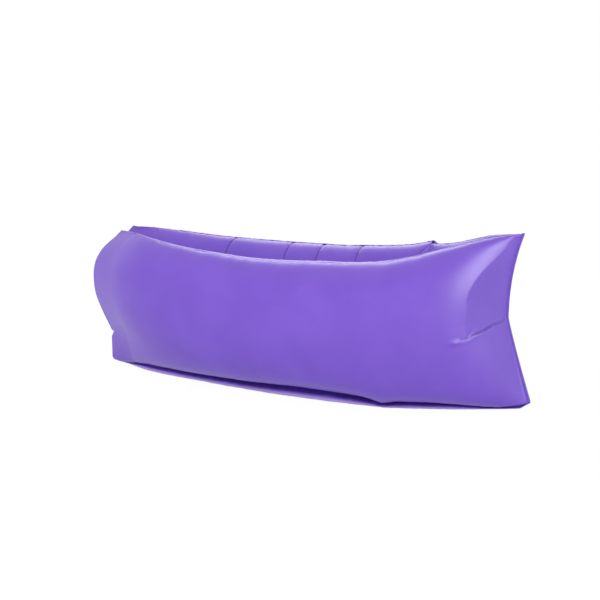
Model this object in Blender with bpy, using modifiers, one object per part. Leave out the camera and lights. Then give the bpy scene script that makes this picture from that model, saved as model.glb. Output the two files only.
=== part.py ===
"""Inflatable air lounger: two air chambers side by side, a rolled mouth and its buckle.

Frame: metres, +Z up, +X towards the closed end, -Y towards the front chamber.
Origin: centre of the underside of the base, on the surface that the lounger rests on.
A station is a place along the length, from -1 at the rolled mouth to 1 at the closed end.
"""
import math

import bmesh
import bpy
from mathutils import Vector

MM = 0.001

# Overall shape of the filled lounger
BODY_LENGTH = 1850 * MM
FRONT_RIDGE_HEIGHT = 541 * MM
REAR_RIDGE_HEIGHT = 570 * MM
SHOULDER_HEIGHT = 611 * MM
CLOSED_END_HEIGHT = 664 * MM
MOUTH_TOP_HEIGHT = 600 * MM
RIDGE_HALF_SPACING = 190 * MM
SIDE_BULGE = 190 * MM
FOOT_HALF_WIDTH = 185 * MM
LIP_HEIGHT = 34 * MM
LIP_REACH = 46 * MM
END_LIP_HEIGHT = 9 * MM
END_LIP_REACH = 4 * MM
MOUTH_LIFT = 12 * MM
CORNER_LIFT = 18 * MM

# Closed end: a flat sewn fin, pulled in at the waist
WAIST_REACH = 860 * MM
TOP_CORNER_REACH = 910 * MM
LOW_CORNER_REACH = 956 * MM
WAIST_HEIGHT = 345 * MM
FIN_DEPTH = 15 * MM
FIN_LEAD = 4.5 * MM
BINDING_DEPTH = 9 * MM

# Mouth: the flat sheets are rolled up and the roll bends back at both ends
MOUTH_REACH = 951 * MM
MOUTH_OVERHANG = 26 * MM
BEND_HEIGHT = 400 * MM
TOP_BEND = 130 * MM
LOW_BEND = 88 * MM
LOW_BEND_HEIGHT = 145 * MM
BEND_DIRECTION_DEG = 54.0
ROLL_RADIUS = 30 * MM
ROLL_CORE_RADIUS = 12.1 * MM
ROLL_TURNS = 3
ROLL_SHEET = 2.4 * MM
ROLL_BOTTOM_HEIGHT = 45 * MM
ROLL_TOP_HEIGHT = 592 * MM
ROLL_PINCH = 5 * MM
ROLL_PINCH_HEIGHT = 22 * MM

# Sheets and gaps
PANEL_THICKNESS = 1.5 * MM
LINER_THICKNESS = 0.8 * MM
TAPE_THICKNESS = 1.0 * MM
GAP = 0.3 * MM
LINER_CLEARANCE = 5 * MM
RIDGE_TAPE_WIDTH = 12 * MM
CENTRE_TAPE_HEIGHT = 9 * MM

# Seams of the inner panels, along the length from the middle of the body
GORE_SEAMS = (-410 * MM, -94 * MM, 49 * MM, 233 * MM, 528 * MM)

# Webbing and side-release buckle
WEBBING_WIDTH = 20 * MM
WEBBING_THICKNESS = 1.4 * MM
STIFFENER_WIDTH = 20 * MM
STIFFENER_THICKNESS = 1.0 * MM
WEBBING_SEWN_LENGTH = 45 * MM
STRAP_LEAN = 165 * MM
STRAP_SIDE_SHIFT = 22 * MM
BUCKLE_HEIGHT = 345 * MM
SOCKET_WIDTH = 31 * MM
SOCKET_THICKNESS = 9.6 * MM
SOCKET_LENGTH = 30 * MM
SOCKET_WALL = 2.0 * MM
SLOT_HEIGHT = 4.6 * MM
BAR_HEIGHT = 4.0 * MM
BAR_THICKNESS = 4.0 * MM
PLUG_BASE_LENGTH = 16 * MM
PRONG_LENGTH = 21 * MM
PRONG_WIDTH = 3.0 * MM
PRONG_THICKNESS = 4.6 * MM
HOOK_OUT = 2.4 * MM
HOOK_LENGTH = 11 * MM
GUIDE_WIDTH = 5.0 * MM
FIT_GAP = 0.4 * MM
TAIL_LENGTH = 60 * MM
BEVEL = 0.8 * MM

# Shares of half the length, from an end, that shape the outline
WIDEST_STATION_SHARE = 0.35
INNER_SPLIT_SHARE = 0.5
SHOULDER_DIP_SHARE = 0.15
CLOSED_RISE_SHARES = (0.3, 0.75)
MOUTH_RISE_SHARES = (0.05, 0.8)
MOUTH_LIFT_SHARE = 0.55
CORNER_LIFT_SHARE = 0.07
MOUTH_BLEND_SHARE = 0.65
CLOSED_BLEND_SHARE = 0.5
LINER_END_SHARE = 0.92
RIDGE_TAPE_END_SHARE = 0.92
CENTRE_TAPE_END_SHARE = 0.7

# Shares that set layers and folds apart
LEAN_MARGIN_SHARE = 0.8
LEAN_ROOM_SHARE = 0.27
LINER_FLOOR_SHARE = 0.85
WEBBING_TURN_SHARES = ((0.25, 0.0), (0.42, 0.33), (0.42, 0.85), (0.15, 1.3))
GUIDE_SHARE = 0.85
HOOK_SHARE = 0.33

# Section of the base's lip, as shares of its reach and of its height, from the floor up
LIP_SHARES = ((0.90, 0.0), (0.98, 0.07), (1.0, 0.2), (0.94, 0.33), (0.75, 0.42),
              (0.45, 0.57), (0.2, 0.78), (0.0, 1.0))

# Powers that shape the curves; a pair rounds off an end
RIDGE_POWERS = (3, 0.8)
FOOT_POWERS = (1.6, 0.9)
CLOSED_FULLNESS_POWERS = (7, 0.65)
MOUTH_FULLNESS_POWERS = (3.2, 0.75)
LOW_BEND_POWERS = (2.4, 1.8)
TOP_BEND_POWER = 2.2
TOP_FIN_POWER = 2.2
LOW_FIN_POWER = 1.1
MOUTH_LIFT_POWER = 1.5

# Mesh counts
ROWS = 10
LINER_ROWS = 7
STATION_COUNTS = (9, 4, 2, 3, 4, 8)
SPIRAL_STEPS_PER_TURN = 12
SWOOP_STEPS = 3
LOOP_STEPS = 6
SHARP_SEAM_DEG = 50.0
SHARP_EDGE_DEG = 40.0

FRONT = -1
REAR = 1

# Values that follow from the ones above
HALF_LENGTH = BODY_LENGTH / 2
MOUTH_HALF_LENGTH = MOUTH_REACH - MOUTH_OVERHANG
FIN_STATION = 1 - FIN_DEPTH / HALF_LENGTH
LEAD = FIN_LEAD / HALF_LENGTH
OUTER_SET_OUT = 2 * PANEL_THICKNESS + 1.5 * GAP
INNER_SET_OUT = GAP / 2
BEND_X = math.cos(math.radians(BEND_DIRECTION_DEG))
BEND_Y = math.sin(math.radians(BEND_DIRECTION_DEG))
SPIRAL_END_ANGLE = math.radians(90 - BEND_DIRECTION_DEG)

# The strap stands like a bowstring behind the roll. Its own axes: level across the
# webbing, outward away from the roll, and up.
STRAP_LEVEL = Vector((BEND_Y, -BEND_X, 0))
STRAP_OUTWARD = Vector((BEND_X, BEND_Y, 0))
ROLL_FOOT = Vector((-MOUTH_REACH, 0, 0))
STRAP_FOOT = ROLL_FOOT + STRAP_OUTWARD * STRAP_LEAN - STRAP_LEVEL * STRAP_SIDE_SHIFT
LOOP_REACH = math.hypot(BAR_THICKNESS, BAR_HEIGHT) / 2 + GAP + WEBBING_THICKNESS / 2
SOCKET_LOW = BUCKLE_HEIGHT
SOCKET_HIGH = SOCKET_LOW + SOCKET_LENGTH
PLUG_LOW = SOCKET_LOW - FIT_GAP - PLUG_BASE_LENGTH


def clamp(value):
    return min(max(value, 0.0), 1.0)


def ease(value):
    """Smooth step from 0 to 1."""
    value = clamp(value)
    return value * value * (3 - 2 * value)


def mix(low, high, share):
    return low + (high - low) * share


def rounded(reach, powers):
    """Falls from 1 to 0 as the reach grows from 0 to 1."""
    return (1 - min(reach, 1.0) ** powers[0]) ** powers[1]


def stations_between(start, end, count):
    return [mix(start, end, step / count) for step in range(count + 1)]


def arc_share(row, rows):
    """Row number to a share of the height, closer together at the seams."""
    return (1 - math.cos(math.pi * row / rows)) / 2


# Shape of the body

def half_length(place):
    """Length of the half that a station or a distance from the middle lies in."""
    return MOUTH_HALF_LENGTH if place < 0 else HALF_LENGTH


def seam_stations():
    return [seam / half_length(seam) for seam in GORE_SEAMS]


def ridge_height(station, side):
    """Height of a chamber's top seam, which sags in the middle."""
    middle = FRONT_RIDGE_HEIGHT if side == FRONT else REAR_RIDGE_HEIGHT
    closed_share = ease((station - CLOSED_RISE_SHARES[0]) / CLOSED_RISE_SHARES[1])
    mouth_share = ease((-station - MOUTH_RISE_SHARES[0]) / MOUTH_RISE_SHARES[1])
    dip_share = ease(1 - (1 + station) / SHOULDER_DIP_SHARE)
    closed_rise = (CLOSED_END_HEIGHT - middle) * closed_share
    mouth_rise = (SHOULDER_HEIGHT - middle) * mouth_share
    dip = (SHOULDER_HEIGHT - MOUTH_TOP_HEIGHT) * dip_share
    return middle + closed_rise + mouth_rise - dip


def ridge_offset(station, lead=0.0):
    """Distance of a top seam from the centre plane; the lead opens a layer sooner."""
    reach = clamp((abs(station) - lead) / FIN_STATION)
    return RIDGE_HALF_SPACING * rounded(reach, RIDGE_POWERS)


def foot_offset(station):
    """Distance of the seam above the base from the centre plane."""
    if station > WIDEST_STATION_SHARE:
        reach = (station - WIDEST_STATION_SHARE) / (FIN_STATION - WIDEST_STATION_SHARE)
    else:
        reach = (WIDEST_STATION_SHARE - station) / (FIN_STATION + WIDEST_STATION_SHARE)
    return FOOT_HALF_WIDTH * rounded(reach, FOOT_POWERS)


def fullness(station):
    """How far the chamber swells at a station, from 0 at the fins to 1."""
    powers = CLOSED_FULLNESS_POWERS if station > 0 else MOUTH_FULLNESS_POWERS
    return rounded(abs(station) / FIN_STATION, powers)


def floor_lift(station):
    """The underside leaves the floor a little at the two ends."""
    mouth = MOUTH_LIFT * clamp(1 - (1 + station) / MOUTH_LIFT_SHARE) ** MOUTH_LIFT_POWER
    corner = CORNER_LIFT * clamp(1 - (1 - station) / CORNER_LIFT_SHARE) ** 2
    return mouth + corner


def lip_height(station):
    return mix(END_LIP_HEIGHT, LIP_HEIGHT, fullness(station))


def lip_reach(station):
    return mix(END_LIP_REACH, LIP_REACH, foot_offset(station) / FOOT_HALF_WIDTH)


def mouth_bend(height):
    """How far back the rolled mouth leans at a height, along its bend direction."""
    if height > BEND_HEIGHT:
        share = (height - BEND_HEIGHT) / (MOUTH_TOP_HEIGHT - BEND_HEIGHT)
        return TOP_BEND * share ** TOP_BEND_POWER
    share = (BEND_HEIGHT - height) / (BEND_HEIGHT - LOW_BEND_HEIGHT)
    return LOW_BEND * (1 - rounded(share, LOW_BEND_POWERS))


def mouth_slope(height):
    step = BEND_HEIGHT / 1000
    return (mouth_bend(height + step) - mouth_bend(height - step)) / (2 * step)


def roll_centre(height):
    bend = mouth_bend(height)
    return Vector((-MOUTH_REACH + BEND_X * bend, BEND_Y * bend, height))


def mouth_line(height):
    """Where the flat sheets end against the roll."""
    slope = mouth_slope(height)
    stretch = math.sqrt(1 + slope * slope)
    along = BEND_X * slope / stretch
    set_in = (ROLL_RADIUS + 2 * GAP) / math.sqrt(1 - along * along)
    room = LEAN_ROOM_SHARE * ROLL_RADIUS * (stretch - 1)
    return roll_centre(height).x + set_in + room


def closed_line(height):
    """Reach of the closed end's fin at a height."""
    if height > WAIST_HEIGHT:
        share = (height - WAIST_HEIGHT) / (CLOSED_END_HEIGHT - WAIST_HEIGHT)
        return mix(WAIST_REACH, TOP_CORNER_REACH, share ** TOP_FIN_POWER)
    share = (WAIST_HEIGHT - height) / (WAIST_HEIGHT - CORNER_LIFT)
    return mix(WAIST_REACH, LOW_CORNER_REACH, max(share, 0.0) ** LOW_FIN_POWER)


def placed(station, offset, height, side, set_out=0.0):
    """Body coordinates to a point: bends the mouth back and pulls the closed end in.

    The set-out keeps layers apart, so it grows where the sheets lean.
    """
    near_mouth = clamp(1 - (1 + station) / MOUTH_BLEND_SHARE)
    mouth = near_mouth ** 2
    closed = clamp(1 - (1 - station) / CLOSED_BLEND_SHARE) ** 2
    x = station * half_length(station)
    x += closed * (closed_line(height) - HALF_LENGTH)
    x += mouth * (mouth_line(height) + MOUTH_HALF_LENGTH)
    lean = BEND_Y * mouth_slope(height) * mouth
    swing = 2 * near_mouth / MOUTH_BLEND_SHARE * BEND_Y * mouth_bend(height)
    turn = swing / MOUTH_HALF_LENGTH
    spread = math.sqrt(1 + lean * lean + turn * turn) + LEAN_MARGIN_SHARE * mouth
    y = side * (offset + set_out * spread) + mouth * BEND_Y * mouth_bend(height)
    return Vector((x, y, height))


def outer_point(station, share, side, set_out=OUTER_SET_OUT, shrink=0.0):
    """Outer skin of a chamber: share is 0 at the foot seam and 1 at the top seam."""
    angle = math.acos(1 - 2 * share)
    foot = floor_lift(station) + lip_height(station) + GAP + shrink
    top = ridge_height(station, side) - shrink
    start = max(foot_offset(station) - shrink, 0.0)
    end = max(ridge_offset(station, LEAD) - shrink, 0.0)
    swell = max(SIDE_BULGE * fullness(station) - shrink, 0.0) * math.sin(angle)
    offset = mix(start, end, share) + swell
    return placed(station, offset, mix(foot, top, share), side, set_out)


def inner_offset_share(share):
    """The two chambers touch up to the split, then part in a quarter ellipse."""
    above = clamp((share - INNER_SPLIT_SHARE) / (1 - INNER_SPLIT_SHARE))
    return 1 - math.sqrt(1 - above * above)


def inner_foot(station):
    return floor_lift(station) + PANEL_THICKNESS + GAP


def inner_point(station, share, side, set_out=INNER_SET_OUT, shrink=0.0):
    """Skin on the valley's side: share is 0 at the base and 1 at the top seam."""
    foot = inner_foot(station) + shrink
    top = ridge_height(station, side) - shrink
    offset = ridge_offset(station) * inner_offset_share(share)
    return placed(station, offset, mix(foot, top, share), side, set_out)


def base_ring(station):
    """Section of the base tray, from the seam of one lip to the seam of the other."""
    low = floor_lift(station)
    tall = lip_height(station)
    front, rear = [[placed(station, foot_offset(station) + lip_reach(station) * out,
                           low + tall * up, side, OUTER_SET_OUT) for out, up in LIP_SHARES]
                   for side in (FRONT, REAR)]
    return list(reversed(front)) + [placed(station, 0, low, REAR)] + rear


def body_stations():
    """Stations shared by every panel, so that neighbouring facets line up."""
    marks = [-FIN_STATION] + seam_stations() + [FIN_STATION]
    result = [-1.0, -FIN_STATION - LEAD]
    for start, end, count in zip(marks, marks[1:], STATION_COUNTS):
        result += stations_between(start, end, count)[:-1]
    return result + [FIN_STATION, FIN_STATION + LEAD, 1.0]


# Building blocks

def fresh_scene():
    for item in list(bpy.data.objects):
        bpy.data.objects.remove(item, do_unlink=True)


def collection(name):
    group = bpy.data.collections.new(name)
    bpy.context.scene.collection.children.link(group)
    return group


def material(name, colour, roughness, metallic=0.0):
    result = bpy.data.materials.new(name)
    result.use_nodes = True
    shader = result.node_tree.nodes["Principled BSDF"]
    shader.inputs["Base Color"].default_value = (*colour, 1.0)
    shader.inputs["Roughness"].default_value = roughness
    shader.inputs["Metallic"].default_value = metallic
    return result


fresh_scene()
PARTS = collection("air_lounger")
CUTTERS = collection("cutters")
TAFFETA = material("purple_taffeta", (0.22, 0.12, 0.62), 0.42)
LINER_FILM = material("liner_film", (0.80, 0.82, 0.86), 0.35)
BINDING = material("binding_tape", (0.17, 0.09, 0.50), 0.60)
WEBBING = material("webbing", (0.02, 0.02, 0.025), 0.75)
BATTEN = material("stiffener_plastic", (0.75, 0.75, 0.73), 0.5)
BUCKLE = material("buckle_plastic", (0.015, 0.015, 0.018), 0.38)


def add_object(name, mesh, finish, group=None):
    item = bpy.data.objects.new(name, mesh)
    mesh.materials.append(finish)
    (group or PARTS).objects.link(item)
    return item


def lofted_sheet(name, rings, finish, closed=False, cap_end=False):
    """Open surface through rings of points, each with as many points as the next."""
    shape = bmesh.new()
    rows = [[shape.verts.new(point) for point in ring] for ring in rings]
    count = len(rows[0])
    last = count if closed else count - 1
    for here, there in zip(rows, rows[1:]):
        for step in range(last):
            after = (step + 1) % count
            shape.faces.new((here[step], there[step], there[after], here[after]))
    if cap_end:
        shape.faces.new(list(reversed(rows[-1])))
    mesh = bpy.data.meshes.new(name)
    shape.to_mesh(mesh)
    shape.free()
    mesh.shade_smooth()
    mesh.set_sharp_from_angle(angle=math.radians(SHARP_SEAM_DEG))
    return add_object(name, mesh, finish)


def solidify(item, thickness, offset):
    """Thicken a sheet: offset 1 grows along its normals, -1 against them."""
    modifier = item.modifiers.new("thickness", "SOLIDIFY")
    modifier.thickness = thickness
    modifier.offset = offset
    modifier.use_even_offset = True
    modifier.use_quality_normals = True
    return item


# Fabric pieces

def outer_panel(name, side):
    shares = [arc_share(row, ROWS) for row in range(ROWS + 1)]
    rings = [[outer_point(s, share, side) for share in shares] for s in body_stations()]
    item = lofted_sheet(name, rings, TAFFETA)
    return solidify(item, PANEL_THICKNESS, side)


def inner_panel(name, side, start, end):
    """One gore of the valley side, between two seams."""
    margin = GAP / HALF_LENGTH
    low = start if start == -1 else start + margin
    high = end if end == 1 else end - margin
    inside = [s for s in body_stations() if low < s < high]
    shares = [arc_share(row, ROWS) for row in range(ROWS + 1)]
    rings = [[inner_point(s, share, side) for share in shares] for s in [low] + inside + [high]]
    item = lofted_sheet(name, rings, TAFFETA)
    return solidify(item, PANEL_THICKNESS, -side)


def inner_panels(word, side):
    marks = [-1] + seam_stations() + [1]
    for number, (start, end) in enumerate(zip(marks, marks[1:]), 1):
        inner_panel(f"{word}_inner_panel_{number}", side, start, end)


def base_panel():
    """Ground sheet: a shallow tray with rounded edges that meet the outer panels."""
    item = lofted_sheet("base_panel", [base_ring(s) for s in body_stations()], TAFFETA)
    return solidify(item, PANEL_THICKNESS, 1)


def liner_ring(station, side):
    """Closed section of the air bladder, kept inside the chamber's skin."""
    inset = PANEL_THICKNESS + LINER_CLEARANCE
    shares = [arc_share(row, LINER_ROWS) for row in range(LINER_ROWS + 1)]
    outside = [outer_point(station, share, side, shrink=inset) for share in shares]
    inside = [inner_point(station, share, side, set_out=inset, shrink=inset) for share in shares]
    low = inner_foot(station) + GAP
    floor_outside = Vector((outside[0].x, mix(inside[0].y, outside[0].y, LINER_FLOOR_SHARE), low))
    floor_inside = Vector((inside[0].x, inside[0].y, low))
    return [floor_inside, floor_outside] + outside[:-1] + list(reversed(inside[1:]))


def liner(name, side):
    """Air bladder: closed at one end and open towards the rolled mouth."""
    stations = [s for s in body_stations() if abs(s) < LINER_END_SHARE]
    item = lofted_sheet(name, [liner_ring(s, side) for s in stations], LINER_FILM, True, True)
    return solidify(item, LINER_THICKNESS, side)


def ridge_tape(name, side):
    """Tape over the top seam, between the outer and the inner panels."""
    half = RIDGE_TAPE_WIDTH / 2
    middle = (OUTER_SET_OUT + INNER_SET_OUT) / 2
    rings = []
    for station in [s for s in body_stations() if abs(s) < RIDGE_TAPE_END_SHARE]:
        height = ridge_height(station, side) + 2 * GAP
        centre = middle + ridge_offset(station)
        rings.append([placed(station, centre + reach, height, side) for reach in (-half, 0, half)])
    item = lofted_sheet(name, rings, BINDING)
    return solidify(item, TAPE_THICKNESS, side)


def centre_tape():
    """Seam welt in the bottom of the valley, where the chambers part."""
    first = arc_share(ROWS // 2 + 1, ROWS)
    first_above = (first - INNER_SPLIT_SHARE) / (1 - INNER_SPLIT_SHARE)
    opening = inner_offset_share(first) / first_above
    room = TAPE_THICKNESS / 2 + GAP - INNER_SET_OUT
    rings = []
    for station in [s for s in body_stations() if abs(s) < CENTRE_TAPE_END_SHARE]:
        above = room / (ridge_offset(station) * opening)
        share = mix(INNER_SPLIT_SHARE, 1, above)
        low = mix(inner_foot(station), ridge_height(station, REAR), share)
        rings.append([placed(station, 0, low + rise, REAR) for rise in (0, CENTRE_TAPE_HEIGHT)])
    item = lofted_sheet("centre_seam_tape", rings, BINDING)
    return solidify(item, TAPE_THICKNESS, 0)


def end_binding():
    """Folded tape round the four flat layers of the closed end."""
    half = OUTER_SET_OUT + GAP
    leg = 1 - BINDING_DEPTH / HALF_LENGTH
    edge = 1 + 2 * PANEL_THICKNESS / HALF_LENGTH
    foot = floor_lift(1) + END_LIP_HEIGHT + GAP + TAPE_THICKNESS
    rings = []
    for row in range(ROWS + 1):
        height = mix(foot, CLOSED_END_HEIGHT, arc_share(row, ROWS))
        outline = ((leg, FRONT), (edge, FRONT), (edge, REAR), (leg, REAR))
        rings.append([placed(station, half, height, side) for station, side in outline])
    item = lofted_sheet("end_binding", rings, BINDING)
    return solidify(item, TAPE_THICKNESS, -1)


# Rolled mouth

def roll_heights():
    """Rings of the roll, at the panels' own rows between its two ends."""
    foot = floor_lift(-1) + lip_height(-1) + GAP
    rows = [mix(foot, MOUTH_TOP_HEIGHT, arc_share(row, ROWS)) for row in range(ROWS)]
    rows = [height for height in rows if height > ROLL_BOTTOM_HEIGHT]
    return sorted([ROLL_BOTTOM_HEIGHT] + rows + [ROLL_TOP_HEIGHT])


def roll_axes(height):
    """Two directions square to the roll at a height: level, and across the bend."""
    slope = mouth_slope(height)
    tangent = Vector((BEND_X * slope, BEND_Y * slope, 1)).normalized()
    level = Vector((BEND_Y, -BEND_X, 0))
    return level, tangent.cross(level), tangent


def mouth_roll():
    """The mouth's sheets rolled up on the stiffeners, as one spiral sheet."""
    steps = ROLL_TURNS * SPIRAL_STEPS_PER_TURN
    rings = []
    for height in roll_heights():
        level, across, tangent = roll_axes(height)
        near = clamp(1 - abs(height - LOW_BEND_HEIGHT) / ROLL_PINCH_HEIGHT)
        outside = ROLL_RADIUS - ROLL_PINCH * near
        ring = []
        for step in range(steps + 1):
            radius = mix(ROLL_CORE_RADIUS, outside, step / steps)
            angle = SPIRAL_END_ANGLE + 2 * math.pi * (step - steps) / SPIRAL_STEPS_PER_TURN
            spoke = level * math.cos(angle) + across * math.sin(angle)
            ring.append(roll_centre(height) + spoke * radius)
        rings.append(ring)
    item = lofted_sheet("mouth_roll", rings, TAFFETA)
    return solidify(item, ROLL_SHEET, 1)


def flat_strip(name, path, width, thickness, finish):
    """Flat strip along a path of (point, width direction) pairs."""
    rings = []
    for point, direction in path:
        rings.append([point - direction * width / 2, point + direction * width / 2])
    item = lofted_sheet(name, rings, finish)
    return solidify(item, thickness, 0)


def core_path(heights, set_off):
    """Points along the roll's axis, moved sideways within the core."""
    path = []
    for height in heights:
        level, across, tangent = roll_axes(height)
        path.append((roll_centre(height) + across * set_off, level))
    return path


def stiffener(name, side):
    """Plastic strip along one lip of the mouth, at the core of the roll."""
    apart = WEBBING_THICKNESS / 2 + GAP + STIFFENER_THICKNESS / 2
    path = core_path(roll_heights(), side * apart)
    flat_strip(name, path, STIFFENER_WIDTH, STIFFENER_THICKNESS, BATTEN)


# Closing strap: one webbing from each end of the roll, joined by a side-release buckle

def strap_point(level, outward, height):
    """Point in the strap's own axes."""
    return STRAP_FOOT + STRAP_LEVEL * level + STRAP_OUTWARD * outward + Vector((0, 0, height))


def smooth_path(points, steps):
    """Catmull-Rom curve through points, with equal steps between each two."""
    ends = [points[0] * 2 - points[1]] + points + [points[-1] * 2 - points[-2]]
    result = []
    for before, here, there, after in zip(ends, ends[1:], ends[2:], ends[3:]):
        slope = there - before
        bend = 2 * before - 5 * here + 4 * there - after
        twist = 3 * here - before - 3 * there + after
        for step in range(steps):
            share = step / steps
            result.append(here + (slope * share + bend * share ** 2 + twist * share ** 3) / 2)
    return result + [points[-1]]


def loop_round_bar(height, turn):
    """Webbing folded round a bar: turn is 1 when it comes from above and -1 from below."""
    arc = []
    for step in range(LOOP_STEPS + 1):
        angle = math.pi * step / LOOP_STEPS
        drop = turn * LOOP_REACH * math.sin(angle)
        arc.append(strap_point(0, LOOP_REACH * math.cos(angle), height - drop))
    tail = strap_point(0, -LOOP_REACH, height + turn * TAIL_LENGTH / 2)
    return arc + [tail]


def webbing(name, end_height, way, bar_height):
    """From the roll's core, round its end's rim, over to the buckle's bar and back on itself."""
    sewn = [height for height in roll_heights() if abs(height - end_height) < WEBBING_SEWN_LENGTH]
    inside = [point for point, direction in core_path(sewn[::way], 0)]
    end = inside[-1]
    level, across, tangent = roll_axes(end_height)
    turn = [end + (tangent * way * out + across * over) * ROLL_RADIUS
            for out, over in WEBBING_TURN_SHARES]
    straight = strap_point(0, LOOP_REACH, bar_height + way * TAIL_LENGTH)
    bar = strap_point(0, LOOP_REACH, bar_height)
    swoop = smooth_path([end] + turn + [straight, bar], SWOOP_STEPS)
    points = inside[:-1] + swoop[:-1] + loop_round_bar(bar_height, way)
    return flat_strip(name, [(point, STRAP_LEVEL) for point in points],
                      WEBBING_WIDTH, WEBBING_THICKNESS, WEBBING)


def box_mesh(name, low, high):
    """Closed box in the strap's own axes, turned into place."""
    shape = bmesh.new()
    bmesh.ops.create_cube(shape, size=1)
    centre = [(a + b) / 2 for a, b in zip(low, high)]
    size = [b - a for a, b in zip(low, high)]
    for vert in shape.verts:
        place = [middle + extent * value for middle, extent, value in zip(centre, size, vert.co)]
        vert.co = place
    mesh = bpy.data.meshes.new(name)
    shape.to_mesh(mesh)
    shape.free()
    return mesh


def strap_frame():
    """Empty that carries the buckle, with the strap's axes as its own."""
    frame = bpy.data.objects.new("strap_frame", None)
    PARTS.objects.link(frame)
    frame.location = STRAP_FOOT
    frame.rotation_euler = (0, 0, math.atan2(STRAP_LEVEL.y, STRAP_LEVEL.x))
    bpy.context.view_layer.update()
    return frame


def buckle_piece(name, mesh, finish, frame):
    """Put a mesh built in the strap's axes under the frame."""
    item = add_object(name, mesh, finish)
    item.parent = frame
    return item


def union_box(item, low, high):
    """Join a box to a piece."""
    combine(item, low, high, "UNION")


def cut_box(item, low, high):
    """Cut a box out of a piece."""
    combine(item, low, high, "DIFFERENCE")


def combine(item, low, high, operation):
    """Hidden box that joins or cuts a piece."""
    tool = bpy.data.objects.new(item.name + "_tool", box_mesh(item.name + "_tool", low, high))
    CUTTERS.objects.link(tool)
    tool.parent = item.parent
    tool.hide_render = True
    tool.display_type = "WIRE"
    modifier = item.modifiers.new("shape", "BOOLEAN")
    modifier.operation = operation
    modifier.solver = "EXACT"
    modifier.object = tool


def round_edges(item, width):
    """Small chamfer on the sharp edges."""
    modifier = item.modifiers.new("edges", "BEVEL")
    modifier.width = width
    modifier.segments = 1
    modifier.limit_method = "ANGLE"
    modifier.angle_limit = math.radians(SHARP_EDGE_DEG)


def buckle_socket(frame):
    """Fixed half: hollow body open at its foot, with side windows, and a bar for the webbing."""
    half = SOCKET_WIDTH / 2
    deep = SOCKET_THICKNESS / 2
    head = SOCKET_HIGH + SLOT_HEIGHT + BAR_HEIGHT
    mesh = box_mesh("buckle_socket", (-half, -deep, SOCKET_LOW), (half, deep, head))
    item = buckle_piece("buckle_socket", mesh, BUCKLE, frame)
    round_edges(item, BEVEL)
    cavity = half - SOCKET_WALL
    hollow = deep - SOCKET_WALL
    ceiling = SOCKET_HIGH - SOCKET_WALL
    cut_box(item, (-cavity, -hollow, SOCKET_LOW - BEVEL), (cavity, hollow, ceiling))
    sill = SOCKET_LOW + PRONG_LENGTH - HOOK_LENGTH - FIT_GAP
    lintel = ceiling - SOCKET_WALL
    cut_box(item, (-half - BEVEL, -hollow, sill), (half + BEVEL, hollow, lintel))
    webbing_slot(item, SOCKET_HIGH + SLOT_HEIGHT, SOCKET_HIGH, 1)
    return item


def webbing_slot(item, bar_low, slot_low, way):
    """Slot for the webbing beside a bar that is thinner than the body; way points to the bar."""
    deep = SOCKET_THICKNESS / 2
    slot = WEBBING_WIDTH / 2 + FIT_GAP
    cut_box(item, (-slot, -deep - BEVEL, slot_low), (slot, deep + BEVEL, slot_low + SLOT_HEIGHT))
    low = min(bar_low, slot_low) - (BEVEL if way < 0 else 0)
    high = max(bar_low + BAR_HEIGHT, slot_low + SLOT_HEIGHT) + (BEVEL if way > 0 else 0)
    cut_box(item, (-slot, BAR_THICKNESS / 2, low), (slot, deep + BEVEL, high))
    cut_box(item, (-slot, -deep - BEVEL, low), (slot, -BAR_THICKNESS / 2, high))


def buckle_plug(frame):
    """Moving half: base with a bar for the webbing, and a guide between the prongs."""
    half = SOCKET_WIDTH / 2
    deep = SOCKET_THICKNESS / 2
    top = PLUG_LOW + PLUG_BASE_LENGTH
    mesh = box_mesh("buckle_plug", (-half, -deep, PLUG_LOW), (half, deep, top))
    item = buckle_piece("buckle_plug", mesh, BUCKLE, frame)
    round_edges(item, BEVEL)
    thick = deep - SOCKET_WALL - FIT_GAP
    wide = GUIDE_WIDTH / 2
    tip = top + PRONG_LENGTH * GUIDE_SHARE
    union_box(item, (-wide, -thick, top - BEVEL), (wide, thick, tip))
    webbing_slot(item, PLUG_LOW, PLUG_LOW + BAR_HEIGHT, -1)
    return item


def buckle_prong(name, side, frame):
    """Springy side arm with its release button; its origin is on its bending axis."""
    outer = SOCKET_WIDTH / 2 - SOCKET_WALL - FIT_GAP
    inner = outer - PRONG_WIDTH
    low = PLUG_LOW + PLUG_BASE_LENGTH + GAP
    high = low + PRONG_LENGTH
    hook_low = high - HOOK_LENGTH
    hook_high = high - HOOK_LENGTH * HOOK_SHARE
    tip = outer - PRONG_WIDTH * HOOK_SHARE
    arm = ((inner, low), (outer, low), (outer, hook_low))
    hook = ((outer + HOOK_OUT, hook_low), (outer + HOOK_OUT, hook_high))
    outline = arm + hook + ((tip, high), (inner, high))
    pivot = Vector((side * (inner + outer) / 2, 0, low))
    shape = bmesh.new()
    verts = [shape.verts.new(Vector((side * level, -PRONG_THICKNESS / 2, height)) - pivot)
             for level, height in outline]
    face = shape.faces.new(verts)
    grown = bmesh.ops.extrude_face_region(shape, geom=[face])
    moved = [item for item in grown["geom"] if isinstance(item, bmesh.types.BMVert)]
    bmesh.ops.translate(shape, verts=moved, vec=(0, PRONG_THICKNESS, 0))
    bmesh.ops.recalc_face_normals(shape, faces=shape.faces)
    mesh = bpy.data.meshes.new(name)
    shape.to_mesh(mesh)
    shape.free()
    item = buckle_piece(name, mesh, BUCKLE, frame)
    item.location = pivot
    return item


# The pieces

outer_panel("front_outer_panel", FRONT)
outer_panel("rear_outer_panel", REAR)
inner_panels("front", FRONT)
inner_panels("rear", REAR)
base_panel()
liner("front_liner", FRONT)
liner("rear_liner", REAR)
ridge_tape("front_ridge_tape", FRONT)
ridge_tape("rear_ridge_tape", REAR)
centre_tape()
end_binding()

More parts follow.
